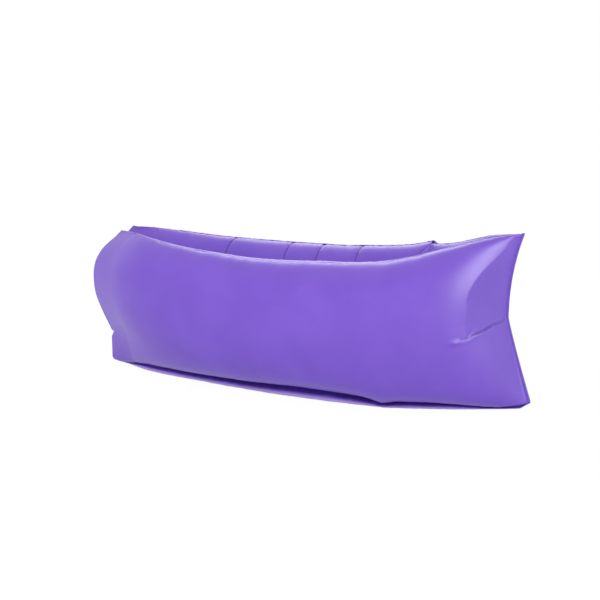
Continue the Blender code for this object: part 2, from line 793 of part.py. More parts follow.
mouth_roll()
stiffener("front_stiffener", FRONT)
stiffener("rear_stiffener", REAR)

FRAME = strap_frame()
buckle_socket(FRAME)
buckle_plug(FRAME)
buckle_prong("buckle_prong_left", FRONT, FRAME)
buckle_prong("buckle_prong_right", REAR, FRAME)
webbing("upper_webbing", roll_heights()[-1], 1, SOCKET_HIGH + SLOT_HEIGHT + BAR_HEIGHT / 2)
webbing("lower_webbing", roll_heights()[0], -1, PLUG_LOW + BAR_HEIGHT / 2)
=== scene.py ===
"""Looks of the inflatable air lounger: skins, seams, rolled mouth, strap, studio and camera.

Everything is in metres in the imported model's frame. A station is a place along the length,
from -1 at the rolled mouth to 1 at the closed end. A share is a place up a skin, from 0 at
its foot to 1 at the top seam.
"""

import math

import bpy
import numpy as np
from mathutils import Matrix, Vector

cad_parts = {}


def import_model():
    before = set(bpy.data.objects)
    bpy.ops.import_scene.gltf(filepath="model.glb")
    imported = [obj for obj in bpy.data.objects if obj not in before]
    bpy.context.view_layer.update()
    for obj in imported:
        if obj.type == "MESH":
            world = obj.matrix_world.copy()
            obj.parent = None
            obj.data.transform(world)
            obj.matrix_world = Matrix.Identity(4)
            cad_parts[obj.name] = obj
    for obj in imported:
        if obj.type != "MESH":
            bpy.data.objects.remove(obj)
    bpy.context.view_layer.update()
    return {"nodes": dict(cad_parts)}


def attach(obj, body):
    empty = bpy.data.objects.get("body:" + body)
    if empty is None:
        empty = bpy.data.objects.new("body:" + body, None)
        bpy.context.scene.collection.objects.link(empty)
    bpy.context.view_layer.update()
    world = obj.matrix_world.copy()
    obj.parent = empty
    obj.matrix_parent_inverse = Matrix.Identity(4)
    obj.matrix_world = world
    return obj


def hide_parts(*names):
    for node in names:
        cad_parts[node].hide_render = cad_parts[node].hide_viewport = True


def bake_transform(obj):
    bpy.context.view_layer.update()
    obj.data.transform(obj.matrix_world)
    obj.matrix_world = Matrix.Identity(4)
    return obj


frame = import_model()
MM = 0.001
FRONT = -1
REAR = 1
BODY = "lounger_body"
PLUG = "plug"
RNG_SEED = 7

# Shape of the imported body, repeated from the part's source
HALF_LENGTH = 925 * MM
RIDGE_HEIGHTS = {FRONT: 541 * MM, REAR: 570 * MM}
CLOSED_HEIGHT = 664 * MM
MOUTH_TOP = 600 * MM
RIDGE_SPREAD = 190 * MM
SIDE_BULGE = 190 * MM
FOOT_HALF_WIDTH = 185 * MM
LIP_REACHES = (4 * MM, 46 * MM)
MOUTH_LIFT = 8 * MM
CORNER_LIFT = 20 * MM
CORNER_CUT = 0.036
WAIST_REACH = 860 * MM
TOP_CORNER_REACH = 910 * MM
LOW_CORNER_REACH = 956 * MM
WAIST_HEIGHT = 345 * MM
FIN_DEPTH = 15 * MM
FIN_STATION = 1 - FIN_DEPTH / HALF_LENGTH
LEAD = 4.5 * MM / HALF_LENGTH
MOUTH_REACH = 951 * MM
BEND_HEIGHT = 400 * MM
TOP_BEND = 130 * MM
LOW_BEND = 88 * MM
LOW_BEND_AT = 145 * MM
BEND_WAY = math.radians(54)
BEND_X = math.cos(BEND_WAY)
BEND_Y = math.sin(BEND_WAY)
ROLL_RADIUS = 30 * MM
PANEL_THICK = 1.5 * MM
GAP = 0.3 * MM
MOUTH_BLEND = 0.65
CLOSED_BLEND = 0.5
WIDEST_STATION = 0.35
SPLIT_SHARE = 0.5
CLOSED_RISE = (0.3, 0.75)
MOUTH_RISE = (0.05, 0.8)
MOUTH_LIFT_SPAN = 0.55
MOUTH_LIFT_POWER = 1.5
LEAN_MARGIN = 0.8
LEAN_ROOM = 0.27
RIDGE_POWERS = (3, 0.8)
FOOT_POWERS = (1.6, 0.9)
CLOSED_POWERS = (7, 0.65)
MOUTH_POWERS = (3.2, 0.75)
LOW_BEND_POWERS = (2.4, 1.8)
TOP_BEND_POWER = 2.2
TOP_FIN_POWER = 2.2
LOW_FIN_POWER = 1.1
EDGE_POWER = 6
GORE_SEAMS = [x * MM / HALF_LENGTH for x in (-410, -94, 49, 233, 528)]
LIP_SHARES = (
    (0.45, 0), (0.8, 0.05), (1, 0.22), (0.98, 0.4), (0.8, 0.54), (0.45, 0.62),
    (-0.1, 0.74), (-0.3, 0.9), (0, 1))

# Seen along the length: millimetres that the outer skin's foot stands above the floor, that
# the base's edge is raised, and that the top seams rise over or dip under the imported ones
FOOT_LINE = (
    (-1, 14), (-0.93, 18), (-0.85, 28), (-0.76, 37), (-0.58, 44), (-0.42, 45), (-0.285, 45),
    (-0.155, 44), (-0.03, 47), (0.09, 50), (0.21, 48), (0.32, 44.5), (0.39, 39), (0.43, 31),
    (0.475, 18), (0.495, 21), (0.53, 27), (0.61, 28), (0.685, 26), (0.795, 17.5), (0.866, 10),
    (0.917, 6), (0.95, 5), (0.964, 6), (0.984, 15), (1, 24))
EDGE_LINE = (
    (-1, 0), (-0.76, 2), (-0.58, 9), (-0.42, 12), (-0.285, 10), (-0.155, 8), (-0.03, 6),
    (0.32, 6), (0.39, 5), (0.5, 2), (0.85, 1), (0.95, 0), (1, 0))
RIDGE_LINES = {
    FRONT: ((-0.5, 0), (-0.3, 4), (-0.1, 2), (0.05, 1), (0.2, 5), (0.35, 5), (0.46, 1), (0.6, 0)),
    REAR: ((-1, -1), (-0.96, -2), (-0.9, -6), (-0.82, -13), (-0.72, -14), (-0.63, -14),
           (-0.545, -13.5), (-0.465, -12), (-0.39, -8.7), (-0.32, -6), (-0.25, -3.5), (-0.18, -1),
           (-0.1, 0), (0.03, -2), (0.12, -4), (0.18, -4), (0.25, 0), (0.36, 3), (0.47, 2),
           (0.54, 5.5), (0.566, 8), (0.582, -7), (0.6, -10), (0.635, -13.5), (0.665, -15.5),
           (0.72, -13.5), (0.78, -10.5), (0.835, -5.5), (0.95, -5), (1, 0))}

# These dips and rises die out over the skin
SAG_POWER = 3
MEAN_FOOT = 30 * MM

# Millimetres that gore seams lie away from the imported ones, down the skin and at the top seam
SEAM_MOVES = {GORE_SEAMS[0]: (50, 50), GORE_SEAMS[3]: (-13, -13), GORE_SEAMS[4]: (-44, 0)}
SEAM_BEND = 0.93

# Heights at which the two chambers' top seams reach the mouth, which the solids share
SHOULDER_HEIGHTS = {FRONT: 602 * MM, REAR: 620 * MM}

# Painted light on the cloth, from -1 for painted shade to 1 for a pale painted highlight
RIM_PAINTED_LIGHT = {FRONT: 1.0, REAR: -0.2}
RIM_PAINTED_LIGHT_REACH = 4 * MM
BRIGHT_RIM_SPAN = ((-0.45, 0.3), (0.52, 0.06))
RIM_SHADE = 0.12
RIM_SHADE_DROP = 12 * MM
RIM_SHADE_WIDTH = 9 * MM
VALLEY_RIM_SHADE = 0.35
VALLEY_RIM_WIDTH = 18 * MM
SEAM_SHADE = 0.9
SEAM_SHADE_WIDTH = 1.6 * MM
CREASE_SHADE = 0.55
FOLD_HIGHLIGHT = 0.16
FOOT_SHADE = 0.35
FOOT_SHADE_REACH = 12 * MM
FOOT_TUCK = 45 * MM

# Painted highlight and shade on the base's lip, from the floor (0) to the seam inside the recess
# (1)
LIP_PAINTED_LIGHT = (
    (0, 0.3), (0.12, 0.9), (0.25, 0.75), (0.38, 0.35), (0.5, 0.1), (0.62, -0.15), (1, -0.35))

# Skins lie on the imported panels
OUTER_SET_OUT = 3 * PANEL_THICK + 1.5 * GAP
INNER_SET_OUT = GAP / 2

# Rolled mouth: the front skin runs over the roll without a step
ROUND_POWERS = (0.43, 0.5)
WRAP_STATION = -0.85
ROLL_LEAD_STEPS = 50
SKIN_LOW = 13 * MM
ROLL_LOW = 42 * MM
ROLL_ROUNDING = 20 * MM
ROLL_END_SHARE = 0.42
ROLL_END_TURNS = (0.28, 0.55)
ROLL_TOP = 591 * MM
ROLL_TAPER_START = 455 * MM
ROLL_TAPER = 0.5
ROLL_PINCH = 9 * MM
ROLL_PINCH_HEIGHT = 26 * MM
ROLL_SLIM = (-3 * MM, 6 * MM)
ROLL_SHIFT = 3 * MM
ROLL_CUT = 8 * MM
ROLL_CUT_HEIGHT = 566 * MM
ROLL_CUT_REACH = 46 * MM
ROLL_TURNS = 4
ROLL_STEPS = 40
ROLL_ROWS = 190
ROLL_CORE_RADIUS = 12.6 * MM
ROLL_CORE_ROOM = 2 * MM
ROLL_WAVE = 1.2 * MM
FRONT_SINK = 22 * MM
FRONT_SINK_SHARES = (0.95, 0.4)
REAR_SINK = 2 * MM
REAR_CORNER = (-842 * MM, 125 * MM, 620 * MM)
CORNER_SHARE = 0.62
REAR_NIP_ANGLE = math.radians(-100)

NOISE_SIZE = 4096
NOISE_START = 1000
ALONG, ACROSS = 0, 1


def clamp(value):
    return np.clip(value, 0.0, 1.0)


def ease(value):
    value = clamp(value)
    return value * value * (3 - 2 * value)


def mix(low, high, share):
    return low + (high - low) * share


def rounded(reach, powers):
    """Falls from 1 to 0 as the reach grows to 1."""
    return (1 - clamp(reach) ** powers[0]) ** powers[1]


def folds(along, wave, seed):
    """Smooth wandering between -1 and 1."""
    table = np.random.default_rng(RNG_SEED + seed).uniform(-1, 1, NOISE_SIZE)
    place = np.asarray(along) / wave + NOISE_START
    left = np.floor(place).astype(int)
    return mix(table[left % NOISE_SIZE], table[(left + 1) % NOISE_SIZE], ease(place - left))


def waves(along, table, seed):
    """Sum of waves, each with its height and length in millimetres."""
    return sum(height * MM * folds(along, wave * MM, seed + number)
               for number, (height, wave) in enumerate(table))


def bell(distance, width):
    """1 at distance 0, dying out over a width."""
    return np.exp(-(distance / width) ** 2)


def window(value, rise, fall):
    """1 between two places, each given with the span of its slope."""
    return ease((value - rise[0]) / rise[1]) * ease((fall[0] - value) / fall[1])


def crossed(rows, columns):
    return np.meshgrid(rows, columns, indexing="ij")


def read_table(table, at):
    """Values of a table of (place, value) pairs."""
    return np.interp(at, *np.array(table).T)


def squared(value, power):
    """Push a sine towards its ends, for boxy sections."""
    return np.sign(value) * np.abs(value) ** power


def unit(vectors):
    length = np.linalg.norm(vectors, axis=-1, keepdims=True)
    return vectors / np.maximum(length, 1e-12)


def stacked(*values):
    return np.stack(np.broadcast_arrays(*values), axis=-1)


def smooth_through(points, place):
    """Catmull-Rom curve through points."""
    points = np.asarray(points, dtype=float)
    padded = np.concatenate([2 * points[:1] - points[1:2], points, 2 * points[-1:] - points[-2:-1]])
    left = np.clip(np.floor(place).astype(int), 0, len(points) - 2)
    share = (place - left)[..., None]
    before, here, there, after = (padded[left + step] for step in range(4))
    slope = there - before
    bend = 2 * before - 5 * here + 4 * there - after
    twist = 3 * here - before - 3 * there + after
    return here + (slope * share + bend * share ** 2 + twist * share ** 3) / 2


# Body shape

def along_length(line, station):
    return read_table(line, station) * MM


def ridge_height(station, side, share=1.0):
    middle = RIDGE_HEIGHTS[side]
    closed_share = ease((station - CLOSED_RISE[0]) / CLOSED_RISE[1])
    mouth_share = ease((-station - MOUTH_RISE[0]) / MOUTH_RISE[1])
    closed_rise = (CLOSED_HEIGHT - middle) * closed_share
    mouth_rise = (SHOULDER_HEIGHTS[side] - middle) * mouth_share
    dip = share ** SAG_POWER * along_length(RIDGE_LINES[side], station)
    return middle + closed_rise + mouth_rise + dip


def ridge_offset(station, lead=0.0):
    return RIDGE_SPREAD * rounded((np.abs(station) - lead) / FIN_STATION, RIDGE_POWERS)


def foot_offset(station):
    right = (station - WIDEST_STATION) / (FIN_STATION - WIDEST_STATION)
    left = (WIDEST_STATION - station) / (FIN_STATION + WIDEST_STATION)
    return FOOT_HALF_WIDTH * rounded(np.where(station > WIDEST_STATION, right, left), FOOT_POWERS)


def fullness(station):
    reach = np.abs(station) / FIN_STATION
    return np.where(station > 0, rounded(reach, CLOSED_POWERS), rounded(reach, MOUTH_POWERS))


def floor_lift(station):
    mouth = MOUTH_LIFT * clamp(1 - (1 + station) / MOUTH_LIFT_SPAN) ** MOUTH_LIFT_POWER
    return mouth + CORNER_LIFT * clamp(1 - (1 - station) / CORNER_CUT)


def mouth_bend(height):
    top_share = np.maximum(height - BEND_HEIGHT, 0) / (MOUTH_TOP - BEND_HEIGHT)
    low_share = clamp((BEND_HEIGHT - height) / (BEND_HEIGHT - LOW_BEND_AT))
    low_bend = LOW_BEND * (1 - rounded(low_share, LOW_BEND_POWERS))
    return TOP_BEND * top_share ** TOP_BEND_POWER + low_bend


def mouth_slope(height):
    step = BEND_HEIGHT / 1000
    return (mouth_bend(height + step) - mouth_bend(height - step)) / (2 * step)


def mouth_line(height):
    slope = mouth_slope(height)
    stretch = np.sqrt(1 + slope * slope)
    along = BEND_X * slope / stretch
    set_in = (ROLL_RADIUS + 2 * GAP) / np.sqrt(1 - along * along)
    room = LEAN_ROOM * ROLL_RADIUS * (stretch - 1)
    return -MOUTH_REACH + BEND_X * mouth_bend(height) + set_in + room


def closed_line(height):
    upper = clamp((height - WAIST_HEIGHT) / (CLOSED_HEIGHT - WAIST_HEIGHT))
    lower = np.maximum(WAIST_HEIGHT - height, 0) / (WAIST_HEIGHT - CORNER_LIFT)
    top = mix(WAIST_REACH, TOP_CORNER_REACH, upper ** TOP_FIN_POWER)
    low = mix(WAIST_REACH, LOW_CORNER_REACH, lower ** LOW_FIN_POWER)
    return np.where(height > WAIST_HEIGHT, top, low)


def placed(station, offset, height, side, set_out):
    """Points of the body: bends the mouth back and pulls the closed end in."""
    near_mouth = clamp(1 - (1 + station) / MOUTH_BLEND)
    mouth = near_mouth ** 2
    closed = clamp(1 - (1 - station) / CLOSED_BLEND) ** 2
    x = station * HALF_LENGTH + closed * (closed_line(height) - HALF_LENGTH)
    x += mouth * (mouth_line(height) + HALF_LENGTH)
    lean = BEND_Y * mouth_slope(height) * mouth
    turn = 2 * near_mouth / MOUTH_BLEND * BEND_Y * mouth_bend(height) / HALF_LENGTH
    spread = np.sqrt(1 + lean * lean + turn * turn) + LEAN_MARGIN * mouth
    y = side * (offset + set_out * spread) + mouth * BEND_Y * mouth_bend(height)
    return stacked(x, y, height)


def outer_points(station, share, side, set_out=OUTER_SET_OUT):
    roundness = mix(*ROUND_POWERS, ease(2 * share))
    swell = SIDE_BULGE * fullness(station) * clamp(4 * share * (1 - share)) ** roundness
    foot = MEAN_FOOT + (along_length(FOOT_LINE, station) - MEAN_FOOT) * (1 - share) ** SAG_POWER
    height = mix(foot, ridge_height(station, side, share), share)
    offset = mix(foot_offset(station), ridge_offset(station, LEAD), share) + swell
    return placed(station, offset, height, side, set_out)


def inner_points(station, share, side, set_out=INNER_SET_OUT):
    above = clamp((share - SPLIT_SHARE) / (1 - SPLIT_SHARE))
    foot = floor_lift(station) + PANEL_THICK + GAP
    height = mix(foot, ridge_height(station, side, share), share)
    offset = ridge_offset(station) * (1 - np.sqrt(clamp(1 - above * above)))
    return placed(station, offset, height, side, set_out)


def base_points(station, across):
    """Base tray: across runs from -2 to 2, with the lips past 1 and -1."""
    side = np.sign(across)
    lip = clamp(np.abs(across) - 1)
    shape = smooth_through(LIP_SHARES, lip * (len(LIP_SHARES) - 1))
    reach = np.minimum(np.abs(across), 1)
    foot = foot_offset(station)
    offset = (foot + mix(*LIP_REACHES, foot / FOOT_HALF_WIDTH) * shape[..., 0]) * reach
    low = floor_lift(station) + along_length(EDGE_LINE, station) * reach ** EDGE_POWER
    top = np.maximum(along_length(FOOT_LINE, station) - GAP, low + GAP)
    height = mix(low, top, np.maximum(shape[..., 1], 0))
    return placed(station, offset, height, side, OUTER_SET_OUT * reach)


# Rolled mouth

def roll_frame(height):
    """Centre of the roll, with its forward, onward and axis directions."""
    slope = mouth_slope(height)
    bend = mouth_bend(height)
    cut = ROLL_CUT * clamp(1 - np.abs(height - ROLL_CUT_HEIGHT) / ROLL_CUT_REACH)
    shift = (ROLL_SHIFT + cut) * ease((height - LOW_BEND_AT) / LOW_BEND_AT)
    centre = stacked(shift - MOUTH_REACH + BEND_X * bend, BEND_Y * bend, height)
    axis = unit(stacked(BEND_X * slope, BEND_Y * slope, 1.0))
    rate = 2 / MOUTH_BLEND
    reach = rate * (mouth_line(height) + HALF_LENGTH) - HALF_LENGTH
    sheet = stacked(reach, rate * BEND_Y * bend, 0.0)
    onward = unit(sheet - axis * np.sum(sheet * axis, axis=-1, keepdims=True))
    return centre, np.cross(axis, onward), onward, axis


def roll_radius(height):
    taper = ease((height - ROLL_TAPER_START) / (ROLL_TOP - ROLL_TAPER_START))
    pinch = ease(1 - np.abs(height - LOW_BEND_AT) / ROLL_PINCH_HEIGHT)
    slim = mix(*ROLL_SLIM, ease((height - LOW_BEND_AT) / LOW_BEND_AT))
    low = clamp(1 - (height - SKIN_LOW) / ROLL_ROUNDING)
    closing = mix(ROLL_END_SHARE, 1, np.sqrt(1 - low * low))
    return ((ROLL_RADIUS - slim) * (1 - ROLL_TAPER * taper) - ROLL_PINCH * pinch) * closing


def on_roll(height, angle, radius):
    """Points round the roll: angle 0 faces the front."""
    centre, forward, onward, axis = roll_frame(height)
    spoke = forward * np.cos(angle)[..., None] + onward * np.sin(angle)[..., None]
    return centre + spoke * radius[..., None]


def contact_angle(share):
    """Angle at which the taut front skin touches the roll."""
    height = mix(SKIN_LOW, ROLL_TOP, share)
    centre, forward, onward, axis = roll_frame(height)
    start = outer_points(WRAP_STATION + 0 * share, share, FRONT, OUTER_SET_OUT) - centre
    ahead = np.sum(start * forward, axis=-1)
    beyond = np.sum(start * onward, axis=-1)
    reach = np.sqrt(ahead ** 2 + beyond ** 2)
    return np.arctan2(beyond, ahead) + np.arccos(clamp(roll_radius(height) / reach))


def skin_end(share, side, inset):
    """Where a skin's rows end on the roll, and their direction there."""
    height = mix(SKIN_LOW, ROLL_TOP, share)
    radius = roll_radius(height)
    centre, forward, onward, axis = roll_frame(height)
    if side == FRONT:
        angle = contact_angle(share)
        end = on_roll(height, angle, radius - inset)
        return end, onward * np.cos(angle)[..., None] - forward * np.sin(angle)[..., None]
    end = on_roll(height, REAR_NIP_ANGLE + 0 * share, radius + inset)
    top = np.array([ROLL_TOP])
    shift = np.array(REAR_CORNER) - on_roll(top, REAR_NIP_ANGLE + 0 * top, roll_radius(top))[0]
    lifted = ease((share - CORNER_SHARE) / (1 - CORNER_SHARE)) ** 2
    return end + shift * lifted[..., None], onward


def led_to_roll(surface, station, end, onward):
    """Lead the last stretch of a surface to its line on the roll."""
    span = 1 + WRAP_STATION
    step = span / ROLL_LEAD_STEPS
    start = surface(WRAP_STATION + 0 * station)
    leave = (surface(WRAP_STATION - step + 0 * station) - start) * (span / step)
    arrive = onward * np.linalg.norm(end - start, axis=-1, keepdims=True)
    t = clamp((WRAP_STATION - station) / span)[..., None]
    curve = start * (1 + 2 * t) * (1 - t) ** 2 + leave * t * (1 - t) ** 2
    curve = curve + end * t * t * (3 - 2 * t) + arrive * t * t * (t - 1)
    return np.where(t > 0, curve, surface(np.maximum(station, WRAP_STATION)))


def over_roll(points):
    height = np.clip(points[..., 2], SKIN_LOW, ROLL_TOP)
    centre, forward, onward, axis = roll_frame(height)
    away = points - centre
    away = away - axis * np.sum(away * axis, axis=-1, keepdims=True)
    reach = np.linalg.norm(away, axis=-1)
    lift = np.maximum(roll_radius(height) + GAP - reach, 0)
    return points + unit(away) * lift[..., None]


def outer_skin_points(station, share, side):
    end, onward = skin_end(share, side, 0.0)
    points = led_to_roll(lambda where: outer_points(where, share, side), station, end, onward)
    if side == REAR:
        return points
    return np.where((station < WRAP_STATION)[..., None], over_roll(points), points)


def inner_skin_points(station, share, side):
    sink = REAR_SINK * clamp(1 - share)
    if side == FRONT:
        sink = FRONT_SINK * ease((FRONT_SINK_SHARES[0] - share) / FRONT_SINK_SHARES[1])
    end, onward = skin_end(share, side, sink)
    return led_to_roll(lambda where: inner_points(where, share, side), station, end, onward)


def base_skin_points(station, across):
    share = 0 * across
    front, onward = skin_end(share, FRONT, 0.0)
    rear, onward = skin_end(share, REAR, 0.0)
    end = mix(front, rear, clamp(across / 4 + 0.5)[..., None])
    end[..., 2] = base_points(-1 + share, across)[..., 2]
    return led_to_roll(lambda where: base_points(where, across), station, end, onward)


# Mesh helpers

def grid_normals(points):
    along = np.gradient(points, axis=0)
    across = np.gradient(points, axis=1)
    return unit(np.cross(along, across))


def lengths(points, axis):
    steps = np.linalg.norm(np.diff(points, axis=axis), axis=-1)
    return np.insert(np.cumsum(steps, axis=axis), 0, 0.0, axis=axis)


def add_object(name, data):
    item = bpy.data.objects.new(name, data)
    bpy.context.scene.collection.objects.link(item)
    return item


def mesh_piece(name, points, faces, finish):
    mesh = bpy.data.meshes.new(name)
    mesh.from_pydata(points.reshape(-1, 3).tolist(), [], faces.tolist())
    mesh.shade_smooth()
    mesh.materials.append(finish)
    return add_object(name, mesh)


def grid_piece(name, points, finish, flip=False, painted_light=0.0):
    rows, columns = points.shape[:2]
    number = np.arange(rows * columns).reshape(rows, columns)
    corners = [number[:-1, :-1], number[1:, :-1], number[1:, 1:], number[:-1, 1:]]
    if flip:
        corners.reverse()
    faces = np.stack(corners, axis=-1).reshape(-1, 4)
    piece = mesh_piece(name, points, faces, finish)
    along = lengths(points, ALONG).mean(axis=1, keepdims=True) + 0 * points[:, :, 0]
    flat = np.stack([along, lengths(points, ACROSS)], axis=-1).reshape(-1, 2)
    layer = piece.data.uv_layers.new(name="metres")
    layer.uv.foreach_set("vector", flat[faces.reshape(-1)].reshape(-1))
    painted = piece.data.attributes.new("painted_light", "FLOAT", "POINT")
    painted.data.foreach_set("value", (painted_light + 0 * points[:, :, 0]).reshape(-1))
    return piece


# Materials

def new_material(name, colour, roughness):
    finish = bpy.data.materials.new(name)
    finish.use_nodes = True
    tree = finish.node_tree
    shader = tree.nodes["Principled BSDF"]
    shader.inputs["Base Color"].default_value = (*colour, 1)
    shader.inputs["Roughness"].default_value = roughness
    return finish, tree, shader


def add_node(tree, kind, values=(), **settings):
    """New node, whose values are constants or other nodes' outputs."""
    node = tree.nodes.new("ShaderNode" + kind)
    for key, value in settings.items():
        setattr(node, key, value)
    for key, value in dict(values).items():
        if isinstance(value, bpy.types.NodeSocket):
            tree.links.new(value, node.inputs[key])
        else:
            node.inputs[key].default_value = value
    return node


def noise(tree, scale):
    place = add_node(tree, "TexCoord").outputs["Object"]
    values = {"Vector": place, "Scale": scale, "Detail": 3.0}
    return add_node(tree, "TexNoise", values).outputs["Fac"]


def bumped(tree, shader, height, strength, distance):
    values = {"Height": height, "Strength": strength, "Distance": distance}
    bump = add_node(tree, "Bump", values)
    tree.links.new(bump.outputs["Normal"], shader.inputs["Normal"])
    return bump


def woven(tree, shader, pitch, strength, distance):
    """Bump of a plain weave, from two crossed bands."""
    place = add_node(tree, "UVMap", uv_map="metres").outputs["UV"]
    values = {"Vector": place, "Scale": BAND_SCALE / pitch}
    bands = {number: add_node(tree, "TexWave", values, wave_type="BANDS",
                              bands_direction=direction).outputs["Fac"]
             for number, direction in enumerate("XY")}
    product = add_node(tree, "Math", bands, operation="MULTIPLY")
    return bumped(tree, shader, product.outputs[0], strength, distance)


def painted_light_tints(tree, colour):
    """Mix in a painted highlight tint or a painted shade tint, by the painted light of each point.
    """
    painted_light = add_node(tree, "Attribute", attribute_name="painted_light").outputs["Fac"]
    for tint, sign in ((PAINTED_HIGHLIGHT_TINT, 1.0), (PAINTED_SHADE_TINT, -1.0)):
        share = add_node(tree, "Math", {0: painted_light, 1: sign}, operation="MULTIPLY",
                         use_clamp=True)
        values = {"Fac": share.outputs[0], "Color1": colour, "Color2": (*tint, 1)}
        colour = add_node(tree, "MixRGB", values).outputs["Color"]
    return colour


def tinted(tree, shader, dark, light, scale):
    """Base colour that drifts between two near tints."""
    ramp = add_node(tree, "ValToRGB", {"Fac": noise(tree, scale)})
    for stop, place, tint in zip(ramp.color_ramp.elements, TINT_STOPS, (dark, light)):
        stop.position = place
        stop.color = (*tint, 1)
    tree.links.new(ramp.outputs["Color"], shader.inputs["Base Color"])
    return ramp.outputs["Color"]


def taffeta_material(name, dark, light):
    """Coated taffeta: tight weave, faint crinkle and a broad satin gloss."""
    finish, tree, shader = new_material(name, light, 0.42)
    shader.inputs["Specular IOR Level"].default_value = 0.38
    colour = tinted(tree, shader, dark, light, 6.0)
    tree.links.new(painted_light_tints(tree, colour), shader.inputs["Base Color"])
    crinkle = bumped(tree, shader, noise(tree, 38.0), 0.12, 1 * MM)
    weave = woven(tree, shader, 0.7 * MM, 0.3, 0.06 * MM)
    tree.links.new(crinkle.outputs["Normal"], weave.inputs["Normal"])
    return finish


def tape_material(name, dark, light, pitch, roughness):
    finish, tree, shader = new_material(name, light, roughness)
    tinted(tree, shader, dark, light, 60.0)
    woven(tree, shader, pitch, 0.8, 0.25 * MM)
    return finish


def plastic_material(name, dark, light, roughness, scale=900.0):
    finish, tree, shader = new_material(name, light, roughness)
    tinted(tree, shader, dark, light, 45.0)
    bumped(tree, shader, noise(tree, scale), 0.35, 0.12 * MM)
    return finish


BAND_SCALE = 0.05 * 2 * math.pi
TINT_STOPS = (0.35, 0.65)
# Tints for painted highlights and painted shade
PAINTED_HIGHLIGHT_TINT = (0.60, 0.47, 0.90)
PAINTED_SHADE_TINT = (0.030, 0.012, 0.150)
TAFFETA = taffeta_material("satin_taffeta", (0.167, 0.076, 0.540), (0.184, 0.087, 0.575))
BINDING = tape_material("binding_tape", (0.150, 0.068, 0.50), (0.170, 0.080, 0.55), 0.9 * MM, 0.6)
WEBBING = tape_material("woven_webbing", (0.014, 0.014, 0.018), (0.03, 0.03, 0.035), 1.8 * MM, 0.72)
THREAD = plastic_material("sewing_thread", (0.20, 0.12, 0.55), (0.30, 0.20, 0.70), 0.6)
DARK_THREAD = plastic_material("webbing_thread", (0.05, 0.05, 0.055), (0.08, 0.08, 0.085), 0.6)
FILM = plastic_material("liner_film", (0.70, 0.73, 0.80), (0.82, 0.84, 0.88), 0.3, 60.0)
BATTEN = plastic_material("stiffener_plastic", (0.68, 0.68, 0.66), (0.76, 0.76, 0.74), 0.5)
BUCKLE = plastic_material("buckle_plastic", (0.012, 0.012, 0.015), (0.03, 0.03, 0.034), 0.38)


# Skins

FOLD_LINE = (
    (0.3, 0.852), (0.444, 0.841), (0.522, 0.841), (0.611, 0.843), (0.67, 0.841),
    (0.715, 0.848), (0.763, 0.863), (0.801, 0.881), (0.845, 0.905), (0.883, 0.931),
    (0.921, 0.951), (0.975, 0.96), (1, 0.984))
FOLD_HIGHLIGHT_SHARES = ((0.62, 0.2), (0.99, 0.05))
FOLD_EDGE = 0.006
FOLD_WIDTHS = (0.04, 0.10)
CREASE_DEPTH = 2.5 * MM
CREASE_WIDTH = 4 * MM
CREASE_SWELL = 1 * MM
SWELL_DROP = 9 * MM
BUMP_STATION = 0.795
BUMP_HEIGHT = 6 * MM
BUMP_HALF_LENGTH = 22 * MM
BUMP_HALF_HEIGHT = 11 * MM
BUMP_DROP = 6 * MM
CHORD_START = 0.86
CHORD_STEP = 0.002
CHORD_END = 1 - 8 * MM / HALF_LENGTH
CREASE_END = (CHORD_END, 0.01)
CREASE_SUNK = (0.80, 0.03)
CREASE_SHADED = (0.835, 0.03)
LOW_WEIGHT = 0.85
FACET_WEIGHT = 0.94
FACET_LEAD = 0.004
FACET_BLEND = 0.016
FACET_RISE = 0.014
CREASE_LINE = (
    (0.8, 0.432), (0.85, 0.437), (0.869, 0.454), (0.907, 0.461), (0.941, 0.479), (0.984, 0.487),
    (1, 0.489))

# Rows and columns of the skins' grids
OUTER_ROWS = 620
BASE_ROWS = 480
GORE_DENSITY = 300
GORE_FEWEST_ROWS = 12
GORE_EDGE_ROWS = (0.7, 1.5, 2.5, 4, 6, 8, 11, 15)
OUTER_COLUMNS = 180
GORE_COLUMNS = 120
LIP_COLUMNS = 29
FLOOR_COLUMNS = 41

# Puckers beside a seam: height, wave and reach in millimetres
TOP_PUCKERS = (1.1, 9, 14)
TOP_FOLDS = (1.6, 31, 45)
TOP_FOLD_SLANT = 0.2
FOOT_PUCKERS = (1.5, 16, 40)
GORE_TOP_PUCKERS = (1.2, 11, 18)
SEAM_PUCKERS = (1.0, 13, 20)
SWELL_HEIGHT = 1 * MM
SWELL_LENGTH = 160 * MM
SWELL_RISE = 140 * MM
CALM_SHARE = 0.05
SEAM_HOLLOW = 4.5 * MM
HOLLOW_REACH = 7 * MM
PILLOWED = (0.52, 0.1)
BASE_WAVES = ((1.2, 13), (1.4, 45))
RIDGE_WIDTHS = (1.4 * MM, 3 * MM)
RIDGE_WAVES = ((0.5, 17),)
RIDGE_LIFT = 0.7
RIDGE_LIFTS = ((0.6, 12),)
RIM_WIDENING = 1.3 * MM
LINER_INSET = 22 * MM
LINER_END = 0.8
LINER_SHARES = ((0.06, 0.93), (0.08, 0.93))
LINER_LEAST = 0.35


def end_facet(points, station, share, side):
    """Flatten the closed end's upper corner, as far as its fold and crease."""
    fold = read_table(FOLD_LINE, share)
    crease = read_table(CREASE_LINE, station)
    span = clamp((station - fold) / (CHORD_END - fold))
    end = outer_points(CHORD_END + 0 * fold, share, side)
    chord = mix(outer_points(fold, share, side), end, span[..., None])
    above = ease((share - crease) / FACET_RISE)
    weight = ease((station - fold + FACET_LEAD) / FACET_BLEND) * above
    inside = station < CHORD_END
    low_weight = LOW_WEIGHT * (1 - above) * inside * (station > CHORD_START)
    low = mix(points, low_chord(station, share, side), low_weight[..., None])
    return mix(low, chord, (FACET_WEIGHT * weight * inside)[..., None])


